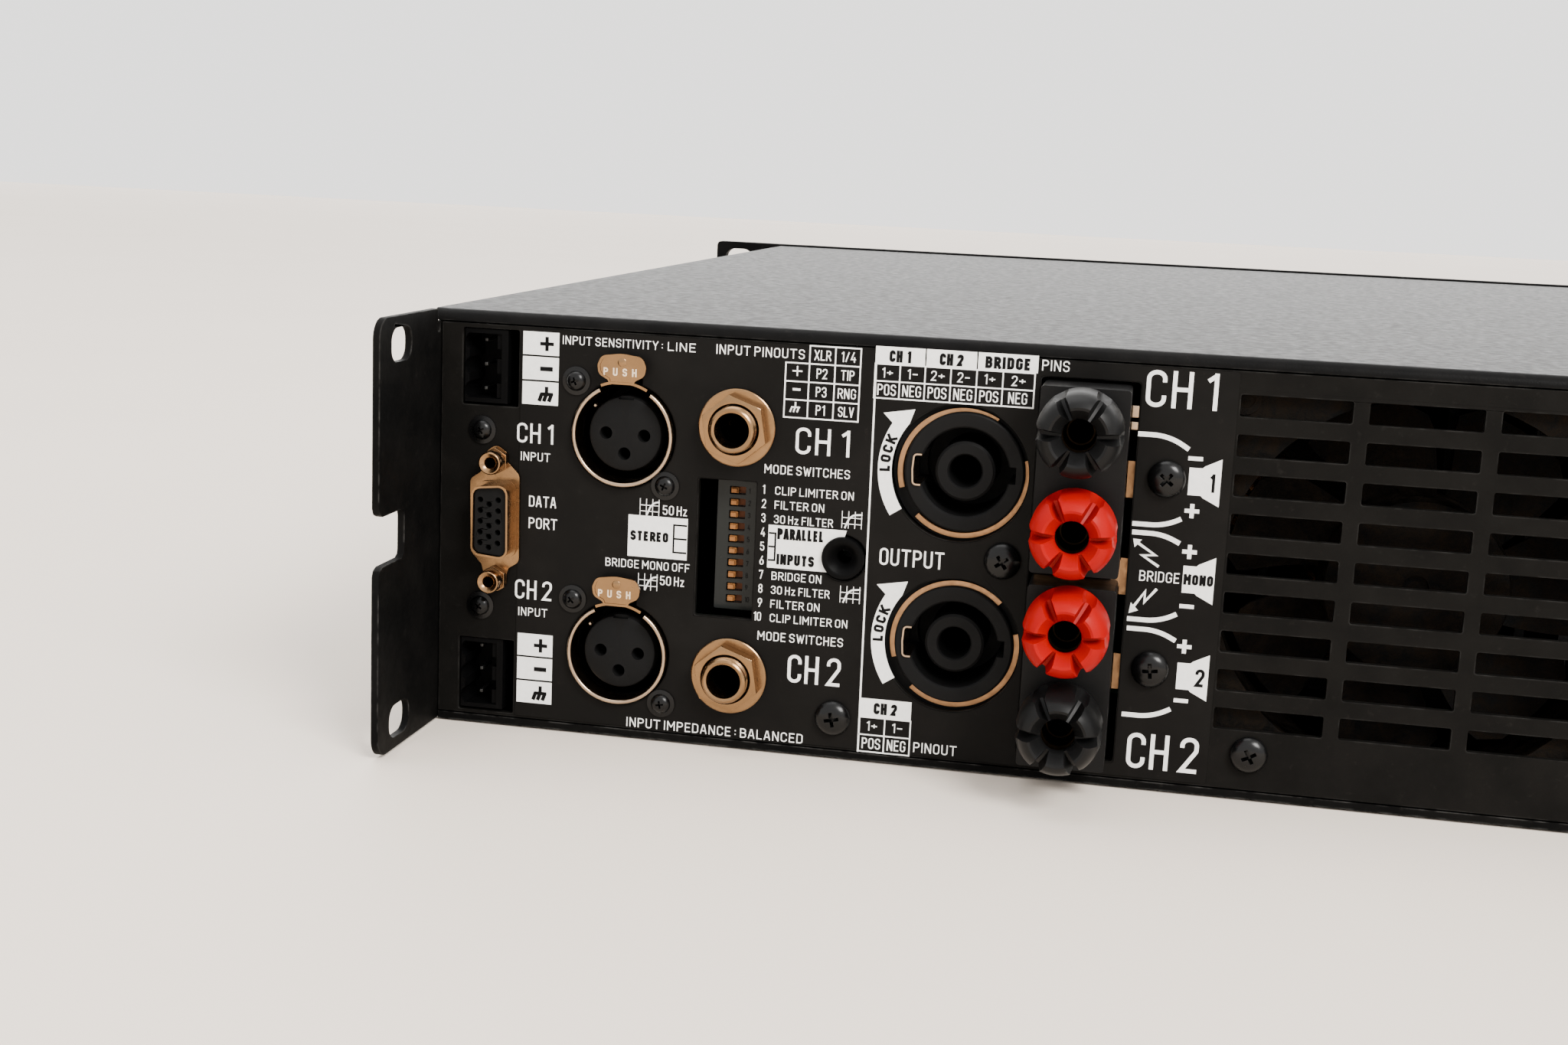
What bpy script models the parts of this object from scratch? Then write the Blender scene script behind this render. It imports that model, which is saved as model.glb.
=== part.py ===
"""Stereo power amplifier, two rack units high, seen mostly from its rear panel.

Metres, +Z up. The front panel faces -Y and the rear panel faces +Y.
The origin is under the middle of the whole object, on its underside.
Rear-panel parts are placed by (u, z): u runs from the rear panel's left
edge as seen from behind, z from the underside, both in millimetres.
"""
import math

import bmesh
import bpy
from mathutils import Matrix, Vector

MM = 0.001

# ---- driving dimensions, millimetres ---------------------------------------
CHASSIS_W = 431.8
CHASSIS_H = 87.5
RACK_W = 482.6
RACK_H = 88.1
FRONT_Y = -194.0            # outer plane of the front panel
REAR_Y = 174.0              # outer plane of the rear panel
FRONT_T = 4.0
FRONT_PAD = 0.2             # how much thicker the panel is between its ears
SHEET_T = 1.5
COVER_T = 1.2
GAP = 0.3                   # between neighbouring pieces
EAR_LEN = 32.0              # rear rack ears, behind the rear panel
RACK_HOLE_PITCH_Z = 76.2
RACK_HOLE_PITCH_X = 465.1
SLOT_W = 10.4
SLOT_H = 6.8

EURO_Z = (76.1, 10.6)       # pluggable terminal headers
EURO_U = (6.4, 18.5)
EURO_H = 16.2
EURO_PITCH = 5.08

DATA_U = 14.4               # data connector
DATA_Z = 44.3
DATA_JACK_PITCH = 25.0

XLR_CENTRES = ((41.2, 63.9), (41.3, 17.9))
XLR_RING_R = 10.65
XLR_RING_WALL = 1.0
XLR_INSERT_R = 7.75
XLR_HOLE_R = 1.5

JACK_CENTRES = ((65.0, 67.1), (65.3, 15.4))
JACK_BORE_R = 3.2
JACK_BUSH_R = 4.75

DIP_U = (57.4, 69.4)        # window in the panel
DIP_Z = (27.5, 56.1)
DIP_COUNT = 10
DIP_PITCH = 2.54
DIP_FACE = 5.5              # depth of the switch face behind the panel

POST_CENTRE = (87.9, 42.0)  # threaded post

SOCKET_CENTRES = ((111.3, 61.2), (111.2, 25.9))
SOCKET_HOLES = ((110.9, 60.8), (111.2, 25.8))
SOCKET_HOLE_R = 13.25
SOCKET_R = 12.25

BIND_U = 134.2              # binding posts
BIND_Z = (73.1, 54.0, 35.0, 15.9)
BIND_BASE_U = (125.9, 143.0)
BIND_BASE_Z = ((44.2, 80.7), (5.4, 41.9))
BIND_BASE_OUT = 10.0
CAP_R = 8.25
CAP_OUT = 26.0

VENT_U0 = 163.5
VENT_COLUMNS = 6
VENT_ROWS = 9
VENT_PITCH_U = 24.0
VENT_PITCH_Z = 7.76
VENT_SLOT = (20.9, 4.3)
VENT_TOP_Z = 80.3

FAN_U = 200.0
FAN_Z = 43.7
FAN_SIZE = 80.0
FAN_DEPTH = 25.0

INLET_U = 384.0
INLET_Z = 30.0

KNOB_X = (-118.0, -158.0)
KNOB_Z = 44.0
ROCKER_X = 178.0
ROCKER_Z = 44.0

LABEL_U = (19.0, 163.0)
LABEL_Z = (2.3, 84.5)
LABEL_T = 0.15

# ---- scene set-up ------------------------------------------------------------
for old in list(bpy.data.objects):
    bpy.data.objects.remove(old, do_unlink=True)

AMP = bpy.data.collections.new("power_amplifier")
bpy.context.scene.collection.children.link(AMP)


def make_material(name, colour, metallic, roughness):
    """A plain Principled material."""
    mat = bpy.data.materials.new(name)
    mat.use_nodes = True
    shader = mat.node_tree.nodes["Principled BSDF"]
    shader.inputs["Base Color"].default_value = (*colour, 1.0)
    shader.inputs["Metallic"].default_value = metallic
    shader.inputs["Roughness"].default_value = roughness
    return mat


MATS = {
    "black_steel": make_material("black_steel", (0.022, 0.022, 0.023), 0.2, 0.5),
    "label": make_material("label", (0.012, 0.012, 0.013), 0.0, 0.45),
    "black_plastic": make_material("black_plastic", (0.014, 0.014, 0.015), 0.0, 0.4),
    "nickel": make_material("nickel", (0.62, 0.58, 0.52), 1.0, 0.25),
    "red_plastic": make_material("red_plastic", (0.72, 0.01, 0.008), 0.0, 0.25),
    "switch_grey": make_material("switch_grey", (0.05, 0.055, 0.055), 0.0, 0.35),
    "orange_plastic": make_material("orange_plastic", (0.7, 0.26, 0.05), 0.0, 0.4),
    "brass": make_material("brass", (0.7, 0.52, 0.25), 1.0, 0.3),
    "aluminium": make_material("aluminium", (0.6, 0.6, 0.6), 1.0, 0.35),
    "circuit_board": make_material("circuit_board", (0.02, 0.12, 0.05), 0.0, 0.5),
    "winding": make_material("winding", (0.3, 0.1, 0.03), 0.3, 0.5),
}


# ---- outlines, millimetres -----------------------------------------------------
def rect(a0, a1, b0, b1):
    """Corner points of a rectangle."""
    return [(a0, b0), (a1, b0), (a1, b1), (a0, b1)]


def rounded(a0, a1, b0, b1, radius, steps=3):
    """Rectangle with rounded corners."""
    corners = [
        (a1 - radius, b0 + radius, -90.0),
        (a1 - radius, b1 - radius, 0.0),
        (a0 + radius, b1 - radius, 90.0),
        (a0 + radius, b0 + radius, 180.0),
    ]
    points = []
    for ca, cb, start in corners:
        for i in range(steps + 1):
            angle = math.radians(start + 90.0 * i / steps)
            points.append((ca + radius * math.cos(angle), cb + radius * math.sin(angle)))
    return points


def circle(ca, cb, radius, steps=24, phase=0.0):
    """Regular polygon close to a circle."""
    points = []
    for i in range(steps):
        angle = math.radians(phase) + 2.0 * math.pi * i / steps
        points.append((ca + radius * math.cos(angle), cb + radius * math.sin(angle)))
    return points


def from_rear(points):
    """Turn (u, z) points into (x, z) points."""
    return [(CHASSIS_W / 2.0 - u, z) for u, z in points]


def rear_x(u):
    """World x of a distance u along the rear panel."""
    return CHASSIS_W / 2.0 - u


# ---- solid builders -------------------------------------------------------------
def tidy_mesh(mesh):
    """Join coincident points and turn every face outward."""
    work = bmesh.new()
    work.from_mesh(mesh)
    bmesh.ops.remove_doubles(work, verts=work.verts, dist=1e-6)
    bmesh.ops.recalc_face_normals(work, faces=work.faces)
    work.to_mesh(mesh)
    work.free()


def add_object(name, mesh, material):
    """Link a mesh as a named object of the amplifier."""
    tidy_mesh(mesh)
    mesh.name = name
    obj = bpy.data.objects.new(name, mesh)
    AMP.objects.link(obj)
    if material:
        mesh.materials.clear()
        mesh.materials.append(MATS[material])
    return obj


def evaluated_mesh(obj):
    """The mesh of an object with its modifiers worked in."""
    bpy.context.view_layer.update()
    graph = bpy.context.evaluated_depsgraph_get()
    mesh = bpy.data.meshes.new_from_object(obj.evaluated_get(graph))
    mesh.transform(obj.matrix_world)
    return mesh


PLANES = {
    "XZ": Matrix(((1, 0, 0, 0), (0, 0, -1, 0), (0, 1, 0, 0), (0, 0, 0, 1))),
    "YZ": Matrix(((0, 0, 1, 0), (1, 0, 0, 0), (0, 1, 0, 0), (0, 0, 0, 1))),
}


def plate(name, outlines, low, high, plane, material):
    """Flat outline with holes, extruded from low to high across its plane."""
    curve = bpy.data.curves.new(name + "_outline", "CURVE")
    curve.dimensions = "2D"
    curve.fill_mode = "BOTH"
    curve.extrude = (high - low) / 2.0
    for outline in outlines:
        spline = curve.splines.new("POLY")
        spline.points.add(len(outline) - 1)
        for point, (a, b) in zip(spline.points, outline):
            point.co = (a, b, 0.0, 1.0)
        spline.use_cyclic_u = True
    holder = bpy.data.objects.new(name + "_outline", curve)
    AMP.objects.link(holder)
    mesh = evaluated_mesh(holder)
    bpy.data.objects.remove(holder, do_unlink=True)
    middle = (high + low) / 2.0
    offset = -middle if plane == "XZ" else middle
    turn = PLANES[plane] @ Matrix.Translation((0.0, 0.0, offset))
    mesh.transform(Matrix.Scale(MM, 4) @ turn)
    return add_object(name, mesh, material)


def block(name, x_range, y_range, z_range, material, bevel=0.0):
    """Rectangular block, with bevelled edges when asked."""
    work = bmesh.new()
    bmesh.ops.create_cube(work, size=1.0)
    size = [abs(r[1] - r[0]) * MM for r in (x_range, y_range, z_range)]
    centre = [(r[1] + r[0]) / 2.0 * MM for r in (x_range, y_range, z_range)]
    bmesh.ops.scale(work, vec=size, verts=work.verts)
    bmesh.ops.translate(work, vec=centre, verts=work.verts)
    mesh = bpy.data.meshes.new(name)
    work.to_mesh(mesh)
    work.free()
    obj = add_object(name, mesh, material)
    if bevel:
        mod = obj.modifiers.new("bevel", "BEVEL")
        mod.width = bevel * MM
        mod.segments = 2
        obj = settle(obj)
    return obj


def settle(obj):
    """Replace an object by its evaluated mesh, keeping name and material."""
    mesh = evaluated_mesh(obj)
    old = obj.data
    obj.modifiers.clear()
    obj.data = mesh
    obj.matrix_world = Matrix.Identity(4)
    name = old.name
    bpy.data.meshes.remove(old)
    tidy_mesh(mesh)
    mesh.name = name
    return obj


def lathe(name, profile, centre, material, steps=24, axis="Y"):
    """Turned piece. The profile is (radius, distance along the axis) in mm."""
    closed = all(radius > 1e-6 for radius, _ in profile)
    mesh = bpy.data.meshes.new(name)
    points = [(radius * MM, 0.0, along * MM) for radius, along in profile]
    edges = [(i, i + 1) for i in range(len(points) - 1)]
    if closed:
        edges.append((len(points) - 1, 0))
    mesh.from_pydata(points, edges, [])
    obj = bpy.data.objects.new(name, mesh)
    AMP.objects.link(obj)
    mod = obj.modifiers.new("turn", "SCREW")
    mod.axis = "Z"
    mod.angle = 2.0 * math.pi
    mod.steps = steps
    mod.render_steps = steps
    mod.use_merge_vertices = True
    mod.merge_threshold = 1e-6
    turned = evaluated_mesh(obj)
    bpy.data.objects.remove(obj, do_unlink=True)
    if axis == "Y":
        turned.transform(Matrix.Rotation(math.radians(-90.0), 4, "X"))
    turned.transform(Matrix.Translation(Vector(centre) * MM))
    return add_object(name, turned, material)


def combine(target, tool, operation):
    """Boolean the tool into the target and drop the tool."""
    mod = target.modifiers.new("combine", "BOOLEAN")
    mod.operation = operation
    mod.solver = "EXACT"
    mod.object = tool
    tool.hide_render = True
    tool.display_type = "WIRE"
    settle(target)
    bpy.data.objects.remove(tool, do_unlink=True)
    return target


def turned_copy(obj, angle_deg, centre):
    """Turn a tool about a line along Y through the centre (x, z)."""
    pivot = Vector((centre[0] * MM, 0.0, centre[1] * MM))
    turn = Matrix.Translation(pivot) @ Matrix.Rotation(math.radians(angle_deg), 4, "Y")
    obj.data.transform(turn @ Matrix.Translation(-pivot))
    return obj


def set_origin(obj, point):
    """Put the object's origin on a world point, given in millimetres."""
    centre = Vector(point) * MM
    obj.data.transform(Matrix.Translation(-centre))
    obj.location = centre
    return obj


def out(distance):
    """World y of a distance out from the rear panel's face, in millimetres."""
    return REAR_Y + distance


# ---- shared rear-panel outlines ---------------------------------------------------
def xlr_hole(centre, radius, latch_half, latch_top):
    """Round hole with a flat-topped notch above it for the latch."""
    u, z = centre
    start = math.degrees(math.acos(latch_half / radius))
    points = []
    steps = 28
    for i in range(steps + 1):
        angle = math.radians(180.0 - start + (180.0 + 2.0 * start) * i / steps)
        points.append((u + radius * math.cos(angle), z + radius * math.sin(angle)))
    points.append((u + latch_half, z + latch_top))
    points.append((u - latch_half, z + latch_top))
    return points


def connector_holes(extra):
    """Openings shared by the steel panel and its label, grown by extra."""
    holes = [xlr_hole(c, 11.0 + extra, 3.6 + extra, 13.8 + extra) for c in XLR_CENTRES]
    holes += [circle(u, z, 5.2 + extra) for u, z in JACK_CENTRES]
    holes.append(rect(DIP_U[0] - extra, DIP_U[1] + extra, DIP_Z[0] - extra, DIP_Z[1] + extra))
    holes.append(circle(*POST_CENTRE, 4.75 + extra, 20))
    for u, z in SOCKET_HOLES:
        holes.append(circle(u, z, SOCKET_HOLE_R + extra, 36))
    holes.append(rounded(125.3 - extra, 144.5 + extra, 4.9 - extra, 81.3 + extra, 0.8, 2))
    return holes


# ---- sheet metal ---------------------------------------------------------------------
def build_bottom():
    """Flat floor of the chassis."""
    half = CHASSIS_W / 2.0 - SHEET_T - GAP
    front = FRONT_Y + FRONT_T + GAP
    block("bottom_pan", (-half, half), (front, REAR_Y), (0.0, SHEET_T), "black_steel")


def side_outline():
    """Side wall with its rear rack ear, as (y, z) points."""
    front = FRONT_Y + FRONT_T + GAP
    wall_top = CHASSIS_H - COVER_T - GAP
    end = REAR_Y + EAR_LEN
    middle = CHASSIS_H / 2.0
    points = [(front, 0.0)]
    for i in range(4):
        angle = math.radians(-90.0 + 30.0 * i)
        points.append((end - 4.0 + 4.0 * math.cos(angle), 4.0 + 4.0 * math.sin(angle)))
    notch = ((0.0, -6.6), (-1.6, -5.0), (-12.0, -5.0), (-12.8, -3.8),
             (-12.8, 3.8), (-12.0, 5.0), (-1.6, 5.0), (0.0, 6.6))
    points += [(end + dy, middle + dz) for dy, dz in notch]
    for i in range(4):
        angle = math.radians(30.0 * i)
        points.append((end - 4.0 + 4.0 * math.cos(angle),
                       CHASSIS_H - 4.0 + 4.0 * math.sin(angle)))
    points += [(REAR_Y + 1.6, CHASSIS_H), (REAR_Y + 1.6, 82.8), (REAR_Y + 0.5, 82.8)]
    points += [(REAR_Y + 0.5, 84.8), (REAR_Y - 2.6, 84.8), (REAR_Y - 2.6, wall_top)]
    points.append((front, wall_top))
    return points


def build_sides():
    """Left and right walls, as seen from behind, with slotted ears."""
    outlines = [side_outline()]
    for sign in (-1.0, 1.0):
        z = CHASSIS_H / 2.0 + sign * RACK_HOLE_PITCH_Z / 2.0
        y = REAR_Y + 21.0
        half_l = SLOT_W / 2.0
        half_h = SLOT_H / 2.0
        outlines.append(rounded(y - half_l, y + half_l, z - half_h, z + half_h, 2.6))
    outer = CHASSIS_W / 2.0
    plate("side_left", outlines, outer - SHEET_T, outer, "YZ", "black_steel")
    plate("side_right", outlines, -outer, -outer + SHEET_T, "YZ", "black_steel")


def build_rear_panel():
    """Rear panel with every connector opening and the vent slots."""
    half = SHEET_T + GAP
    outlines = [rect(half, CHASSIS_W - half, SHEET_T + GAP, 84.8)]
    for z in EURO_Z:
        outlines.append(rect(EURO_U[0], EURO_U[1], z - EURO_H / 2.0, z + EURO_H / 2.0 - 0.3))
    outlines.append(rounded(DATA_U - 4.4, DATA_U + 4.4, DATA_Z - 7.7, DATA_Z + 7.7, 2.0))
    for sign in (-1.0, 1.0):
        outlines.append(circle(DATA_U, DATA_Z + sign * DATA_JACK_PITCH / 2.0, 1.9, 12))
    outlines += connector_holes(0.0)
    for column in range(VENT_COLUMNS):
        u = VENT_U0 + column * VENT_PITCH_U
        for row in range(VENT_ROWS):
            top = VENT_TOP_Z - row * VENT_PITCH_Z
            outlines.append(rect(u, u + VENT_SLOT[0], top - VENT_SLOT[1], top))
    outlines.append(rect(INLET_U - 14.0, INLET_U + 14.0, INLET_Z - 10.2, INLET_Z + 10.2))
    shapes = [from_rear(outline) for outline in outlines]
    plate("rear_panel", shapes, REAR_Y - SHEET_T, REAR_Y, "XZ", "black_steel")


def build_label():
    """Printed film on the rear panel."""
    outlines = [rect(*LABEL_U, *LABEL_Z)] + connector_holes(0.7)
    shapes = [from_rear(outline) for outline in outlines]
    plate("rear_label", shapes, out(0.05), out(0.05 + LABEL_T), "XZ", "label")


def build_cover():
    """Top cover, folded down over a radius along its rear edge."""
    front = FRONT_Y + FRONT_T + GAP
    radius = 2.2
    inner = radius - COVER_T
    points = [(front, CHASSIS_H - COVER_T)]
    for i in range(4):
        angle = math.radians(90.0 - 30.0 * i)
        points.append((REAR_Y - radius + inner * math.cos(angle),
                       CHASSIS_H - radius + inner * math.sin(angle)))
    points += [(REAR_Y - COVER_T, 85.1), (REAR_Y, 85.1)]
    for i in range(5):
        angle = math.radians(22.5 * i)
        points.append((REAR_Y - radius + radius * math.cos(angle),
                       CHASSIS_H - radius + radius * math.sin(angle)))
    points.append((front, CHASSIS_H))
    half = CHASSIS_W / 2.0
    plate("top_cover", [points], -half, half, "YZ", "black_steel")


def thin_ears(panel, ear_x, back):
    """Bring the rear faces of both rack ears forward to one plane."""
    step = 0.05
    work = bmesh.new()
    work.from_mesh(panel.data)
    for x in (-ear_x - step, -ear_x, ear_x, ear_x + step):
        parts = work.verts[:] + work.edges[:] + work.faces[:]
        bmesh.ops.bisect_plane(work, geom=parts, dist=1e-7, plane_co=(x * MM, 0.0, 0.0),
                               plane_no=(1.0, 0.0, 0.0))
    for vert in work.verts:
        if abs(vert.co.x) > (ear_x + step / 2.0) * MM and vert.co.y > back * MM:
            vert.co.y = back * MM
    work.to_mesh(panel.data)
    work.free()


def build_front_panel():
    """Rack-width front panel with slots, vents, and control openings."""
    half = RACK_W / 2.0
    outlines = [rounded(-half, half, 0.0, RACK_H, 1.5, 2)]
    for sx in (-1.0, 1.0):
        x = sx * RACK_HOLE_PITCH_X / 2.0
        for sz in (-1.0, 1.0):
            z = RACK_H / 2.0 + sz * RACK_HOLE_PITCH_Z / 2.0
            outlines.append(rounded(x - SLOT_W / 2.0, x + SLOT_W / 2.0,
                                    z - SLOT_H / 2.0, z + SLOT_H / 2.0, 3.0))
    for x in KNOB_X:
        outlines.append(circle(x, KNOB_Z, 3.9, 16))
    outlines.append(rect(ROCKER_X - 6.6, ROCKER_X + 6.6, ROCKER_Z - 10.9, ROCKER_Z + 10.9))
    for i in range(12):
        x = -82.0 + i * 20.0
        outlines.append(rounded(x, x + 8.0, 14.0, 74.0, 2.5, 1))
    back = FRONT_Y + FRONT_T
    panel = plate("front_panel", outlines, FRONT_Y, back + FRONT_PAD, "XZ", "black_steel")
    thin_ears(panel, CHASSIS_W / 2.0 + 0.2, back)


# ---- left-hand connectors ----------------------------------------------------------------
def build_euroblock(index, z):
    """Open terminal header with three pins on its back wall."""
    name = "terminal_header_%d" % index
    u0 = EURO_U[0] + 0.3
    u1 = 16.0
    half = EURO_H / 2.0 - 0.5
    body = block(name, (rear_x(u1), rear_x(u0)), (out(-13.0), out(-0.4)),
                 (z - half, z + half), "black_plastic")
    cavity = block("cavity", (rear_x(14.6), rear_x(7.8)), (out(-10.0), out(5.0)),
                   (z - half + 0.9, z + half - 0.9), None)
    combine(body, cavity, "DIFFERENCE")
    for i in (-1, 0, 1):
        pin_z = z + i * EURO_PITCH
        pin = block("pin", (rear_x(9.9) - 0.5, rear_x(9.9) + 0.5), (out(-11.0), out(-3.0)),
                    (pin_z - 0.5, pin_z + 0.5), None)
        combine(body, pin, "UNION")


def build_data_port():
    """Data connector: plated shell, black insert, and two jackscrews."""
    x = rear_x(DATA_U)
    z = DATA_Z
    ear = DATA_JACK_PITCH / 2.0
    flange = [(-5.4, -5.6), (-3.4, -7.9), (-2.6, -8.4), (-2.6, -ear - 2.4), (2.6, -ear - 2.4),
              (2.6, -8.4), (3.4, -7.9), (5.4, -5.6), (5.4, 5.6), (3.4, 7.9), (2.6, 8.4),
              (2.6, ear + 2.4), (-2.6, ear + 2.4), (-2.6, 8.4), (-3.4, 7.9), (-5.4, 5.6)]
    outlines = [[(x + a, z + b) for a, b in flange]]
    outlines += [circle(x, z + sign * ear, 1.9, 12) for sign in (-1.0, 1.0)]
    outlines.append(rounded(x - 3.2, x + 3.2, z - 6.5, z + 6.5, 1.4))
    shell = plate("data_port_shell", outlines, out(0.3), out(1.1), "XZ", "nickel")
    wall = [rounded(x - 3.8, x + 3.8, z - 7.1, z + 7.1, 1.9),
            rounded(x - 3.2, x + 3.2, z - 6.5, z + 6.5, 1.4)]
    shroud = plate("shroud", wall, out(0.6), out(6.0), "XZ", None)
    combine(shell, shroud, "UNION")
    insert = plate("data_port_insert", [rounded(x - 2.9, x + 2.9, z - 6.2, z + 6.2, 1.2)],
                   out(-9.0), out(5.0), "XZ", "black_plastic")
    for column in (-1, 0, 1):
        for row in range(5):
            hole_z = z + (row - 2) * 2.3 + column * 0.6
            centre = (x + column * 1.9, out(0.0), hole_z)
            hole = lathe("hole", [(0.0, 2.0), (0.5, 2.0), (0.5, 7.0), (0.0, 7.0)], centre,
                         None, 6)
            combine(insert, hole, "DIFFERENCE")
    for index, sign in ((1, 1.0), (2, -1.0)):
        centre_z = z + sign * ear
        rings = [circle(x, centre_z, 2.7, 6, 30.0), circle(x, centre_z, 1.3, 12)]
        plate("jackscrew_%d" % index, rings, out(1.4), out(5.8), "XZ", "nickel")


def build_xlr(index, centre):
    """Microphone-type input: plated shell, insert with three holes, latch."""
    u, z = centre
    x = rear_x(u)
    inner = XLR_RING_R - XLR_RING_WALL
    at = (x, REAR_Y, z)
    profile = [(inner, 1.6), (XLR_RING_R, 1.6), (XLR_RING_R, -1.8), (12.6, -1.8),
               (12.6, -4.0), (XLR_RING_R, -4.0), (XLR_RING_R, -20.0), (inner, -20.0)]
    lathe("xlr_shell_%d" % index, profile, at, "nickel", 24)
    profile = [(0.0, -1.2), (XLR_INSERT_R, -1.2), (XLR_INSERT_R, -16.0), (9.3, -16.0),
               (9.3, -19.0), (0.0, -19.0)]
    insert = lathe("xlr_insert_%d" % index, profile, at, "black_plastic", 24)
    for dx, dz in ((4.2, 0.0), (-4.0, 0.0), (0.3, -4.2)):
        tool = lathe("hole", [(0.0, 2.0), (XLR_HOLE_R, 2.0), (XLR_HOLE_R, -13.0), (0.0, -13.0)],
                     (x + dx, REAR_Y, z + dz), None, 8)
        combine(insert, tool, "DIFFERENCE")
    pivot = (x, out(-0.6), z + 12.2)
    tab = plate("xlr_latch_%d" % index,
                [rounded(x - 5.0, x + 5.0, z + 11.4, z + 16.6, 2.2, 4)],
                out(2.2), out(3.0), "XZ", "nickel")
    foot = block("foot", (x - 2.6, x + 2.6), (out(-1.2), out(2.6)), (z + 11.6, z + 12.8), None)
    combine(tab, foot, "UNION")
    set_origin(tab, pivot)


def build_jack(index, centre):
    """Quarter-inch jack: bushing with its body, and a washer with hex nut."""
    u, z = centre
    x = rear_x(u)
    at = (x, REAR_Y, z)
    profile = [(JACK_BORE_R, 5.8), (JACK_BUSH_R - 0.5, 5.8), (JACK_BUSH_R, 5.3),
               (JACK_BUSH_R, -1.8), (7.8, -1.8), (7.8, -30.0), (JACK_BORE_R, -30.0)]
    lathe("jack_body_%d" % index, profile, at, "nickel", 24)
    nut = lathe("jack_nut_%d" % index,
                [(0.0, 0.4), (7.95, 0.4), (7.95, 1.3), (0.0, 1.3)], at, "nickel", 24)
    hexagon = plate("hexagon", [circle(x, z, 7.1, 6, 8.0)], out(0.8), out(3.9), "XZ", None)
    combine(nut, hexagon, "UNION")
    bore = lathe("bore", [(0.0, -2.0), (5.1, -2.0), (5.1, 8.0), (0.0, 8.0)], at, None, 24)
    combine(nut, bore, "DIFFERENCE")


def build_dip():
    """Ten-way slide switch behind its window, with ten sliders."""
    face = -DIP_FACE
    body = block("mode_switch_body", (rear_x(68.6), rear_x(60.2)), (out(face - 5.0), out(face)),
                 (DIP_Z[0] + 0.6, DIP_Z[1] - 0.6), "switch_grey")
    middle = (DIP_Z[0] + DIP_Z[1]) / 2.0
    for i in range(DIP_COUNT):
        z = middle + ((DIP_COUNT - 1) / 2.0 - i) * DIP_PITCH
        well = block("well", (rear_x(66.1), rear_x(62.7)), (out(face - 1.6), out(2.0)),
                     (z - 0.85, z + 0.85), None)
        combine(body, well, "DIFFERENCE")
        slider = block("mode_slider_%02d" % (i + 1), (rear_x(64.5), rear_x(62.95)),
                       (out(face - 1.4), out(face + 0.7)), (z - 0.6, z + 0.6), "orange_plastic")
        set_origin(slider, ((rear_x(64.5) + rear_x(62.95)) / 2.0, out(face), z))


def build_threaded_post():
    """Black round threaded post through the panel."""
    u, z = POST_CENTRE
    profile = [(1.75, 1.5), (3.8, 1.5), (4.4, 0.9), (4.4, -9.0), (1.75, -9.0)]
    lathe("threaded_post", profile, (rear_x(u), REAR_Y, z), "black_plastic", 20)


# ---- outputs ------------------------------------------------------------------------------
def build_socket(index, centre):
    """Twist-lock speaker socket with a hollow boss."""
    u, z = centre
    x = rear_x(u)
    profile = [(3.3, -1.6), (5.6, -1.6), (6.0, -2.0), (6.0, -16.0), (8.9, -16.0), (8.9, -0.2),
               (9.3, 0.2), (12.0, 0.2), (SOCKET_R, -0.1), (SOCKET_R, -1.9), (14.4, -1.9),
               (14.4, -4.0), (11.5, -4.0), (11.5, -20.0), (3.3, -20.0)]
    body = lathe("speaker_socket_%d" % index, profile, (x, REAR_Y, z), "black_plastic", 24)
    key = block("key", (x - 10.2, x - 8.0), (out(-13.0), out(2.0)), (z - 1.7, z + 1.7), None)
    combine(body, key, "DIFFERENCE")
    slot = block("slot", (x + 8.0, x + 10.4), (out(-13.0), out(2.0)), (z - 3.0, z + 3.0), None)
    combine(body, slot, "DIFFERENCE")


def build_binding_base(index, posts):
    """Insulating block that carries two binding posts."""
    base = block("binding_base_%d" % index, (rear_x(BIND_BASE_U[1]), rear_x(BIND_BASE_U[0])),
                 (out(-8.0), out(BIND_BASE_OUT)), BIND_BASE_Z[index - 1],
                 "black_plastic", 0.9)
    x = rear_x(BIND_U)
    for z in posts:
        bore = lathe("bore", [(0.0, -12.0), (3.2, -12.0), (3.2, 14.0), (0.0, 14.0)],
                     (x, REAR_Y, z), None, 16)
        combine(base, bore, "DIFFERENCE")


def build_binding_post(index, z):
    """Metal stud, threaded bush, and finger cap of one binding post."""
    x = rear_x(BIND_U)
    at = (x, REAR_Y, z)
    stud = [(2.05, 21.0), (2.6, 21.0), (2.9, 20.6), (2.9, -10.0), (2.05, -10.0)]
    lathe("binding_stud_%d" % index, stud, at, "brass", 16)
    bush = [(3.2, 11.0), (4.6, 11.0), (4.6, 19.0), (3.2, 19.0)]
    piece = lathe("binding_bush_%d" % index, bush, at, "brass", 16)
    set_origin(piece, at)
    profile = [(4.9, 10.4), (7.3, 10.4), (7.6, 11.2), (7.6, 13.0), (CAP_R, 15.5),
               (CAP_R, 22.0), (6.9, 25.4), (5.4, CAP_OUT), (3.4, CAP_OUT), (3.2, 25.6),
               (3.2, 21.6), (4.9, 21.6)]
    colour = "red_plastic" if index in (2, 3) else "black_plastic"
    cap = lathe("binding_cap_%d" % index, profile, at, colour, 18)
    for turn in (0.0, 60.0, 120.0):
        channel = block("channel", (x - 12.0, x + 12.0), (out(22.4), out(30.0)),
                        (z - 1.25, z + 1.25), None)
        turned_copy(channel, turn, (x, z))
        combine(cap, channel, "DIFFERENCE")
    set_origin(cap, at)


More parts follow.
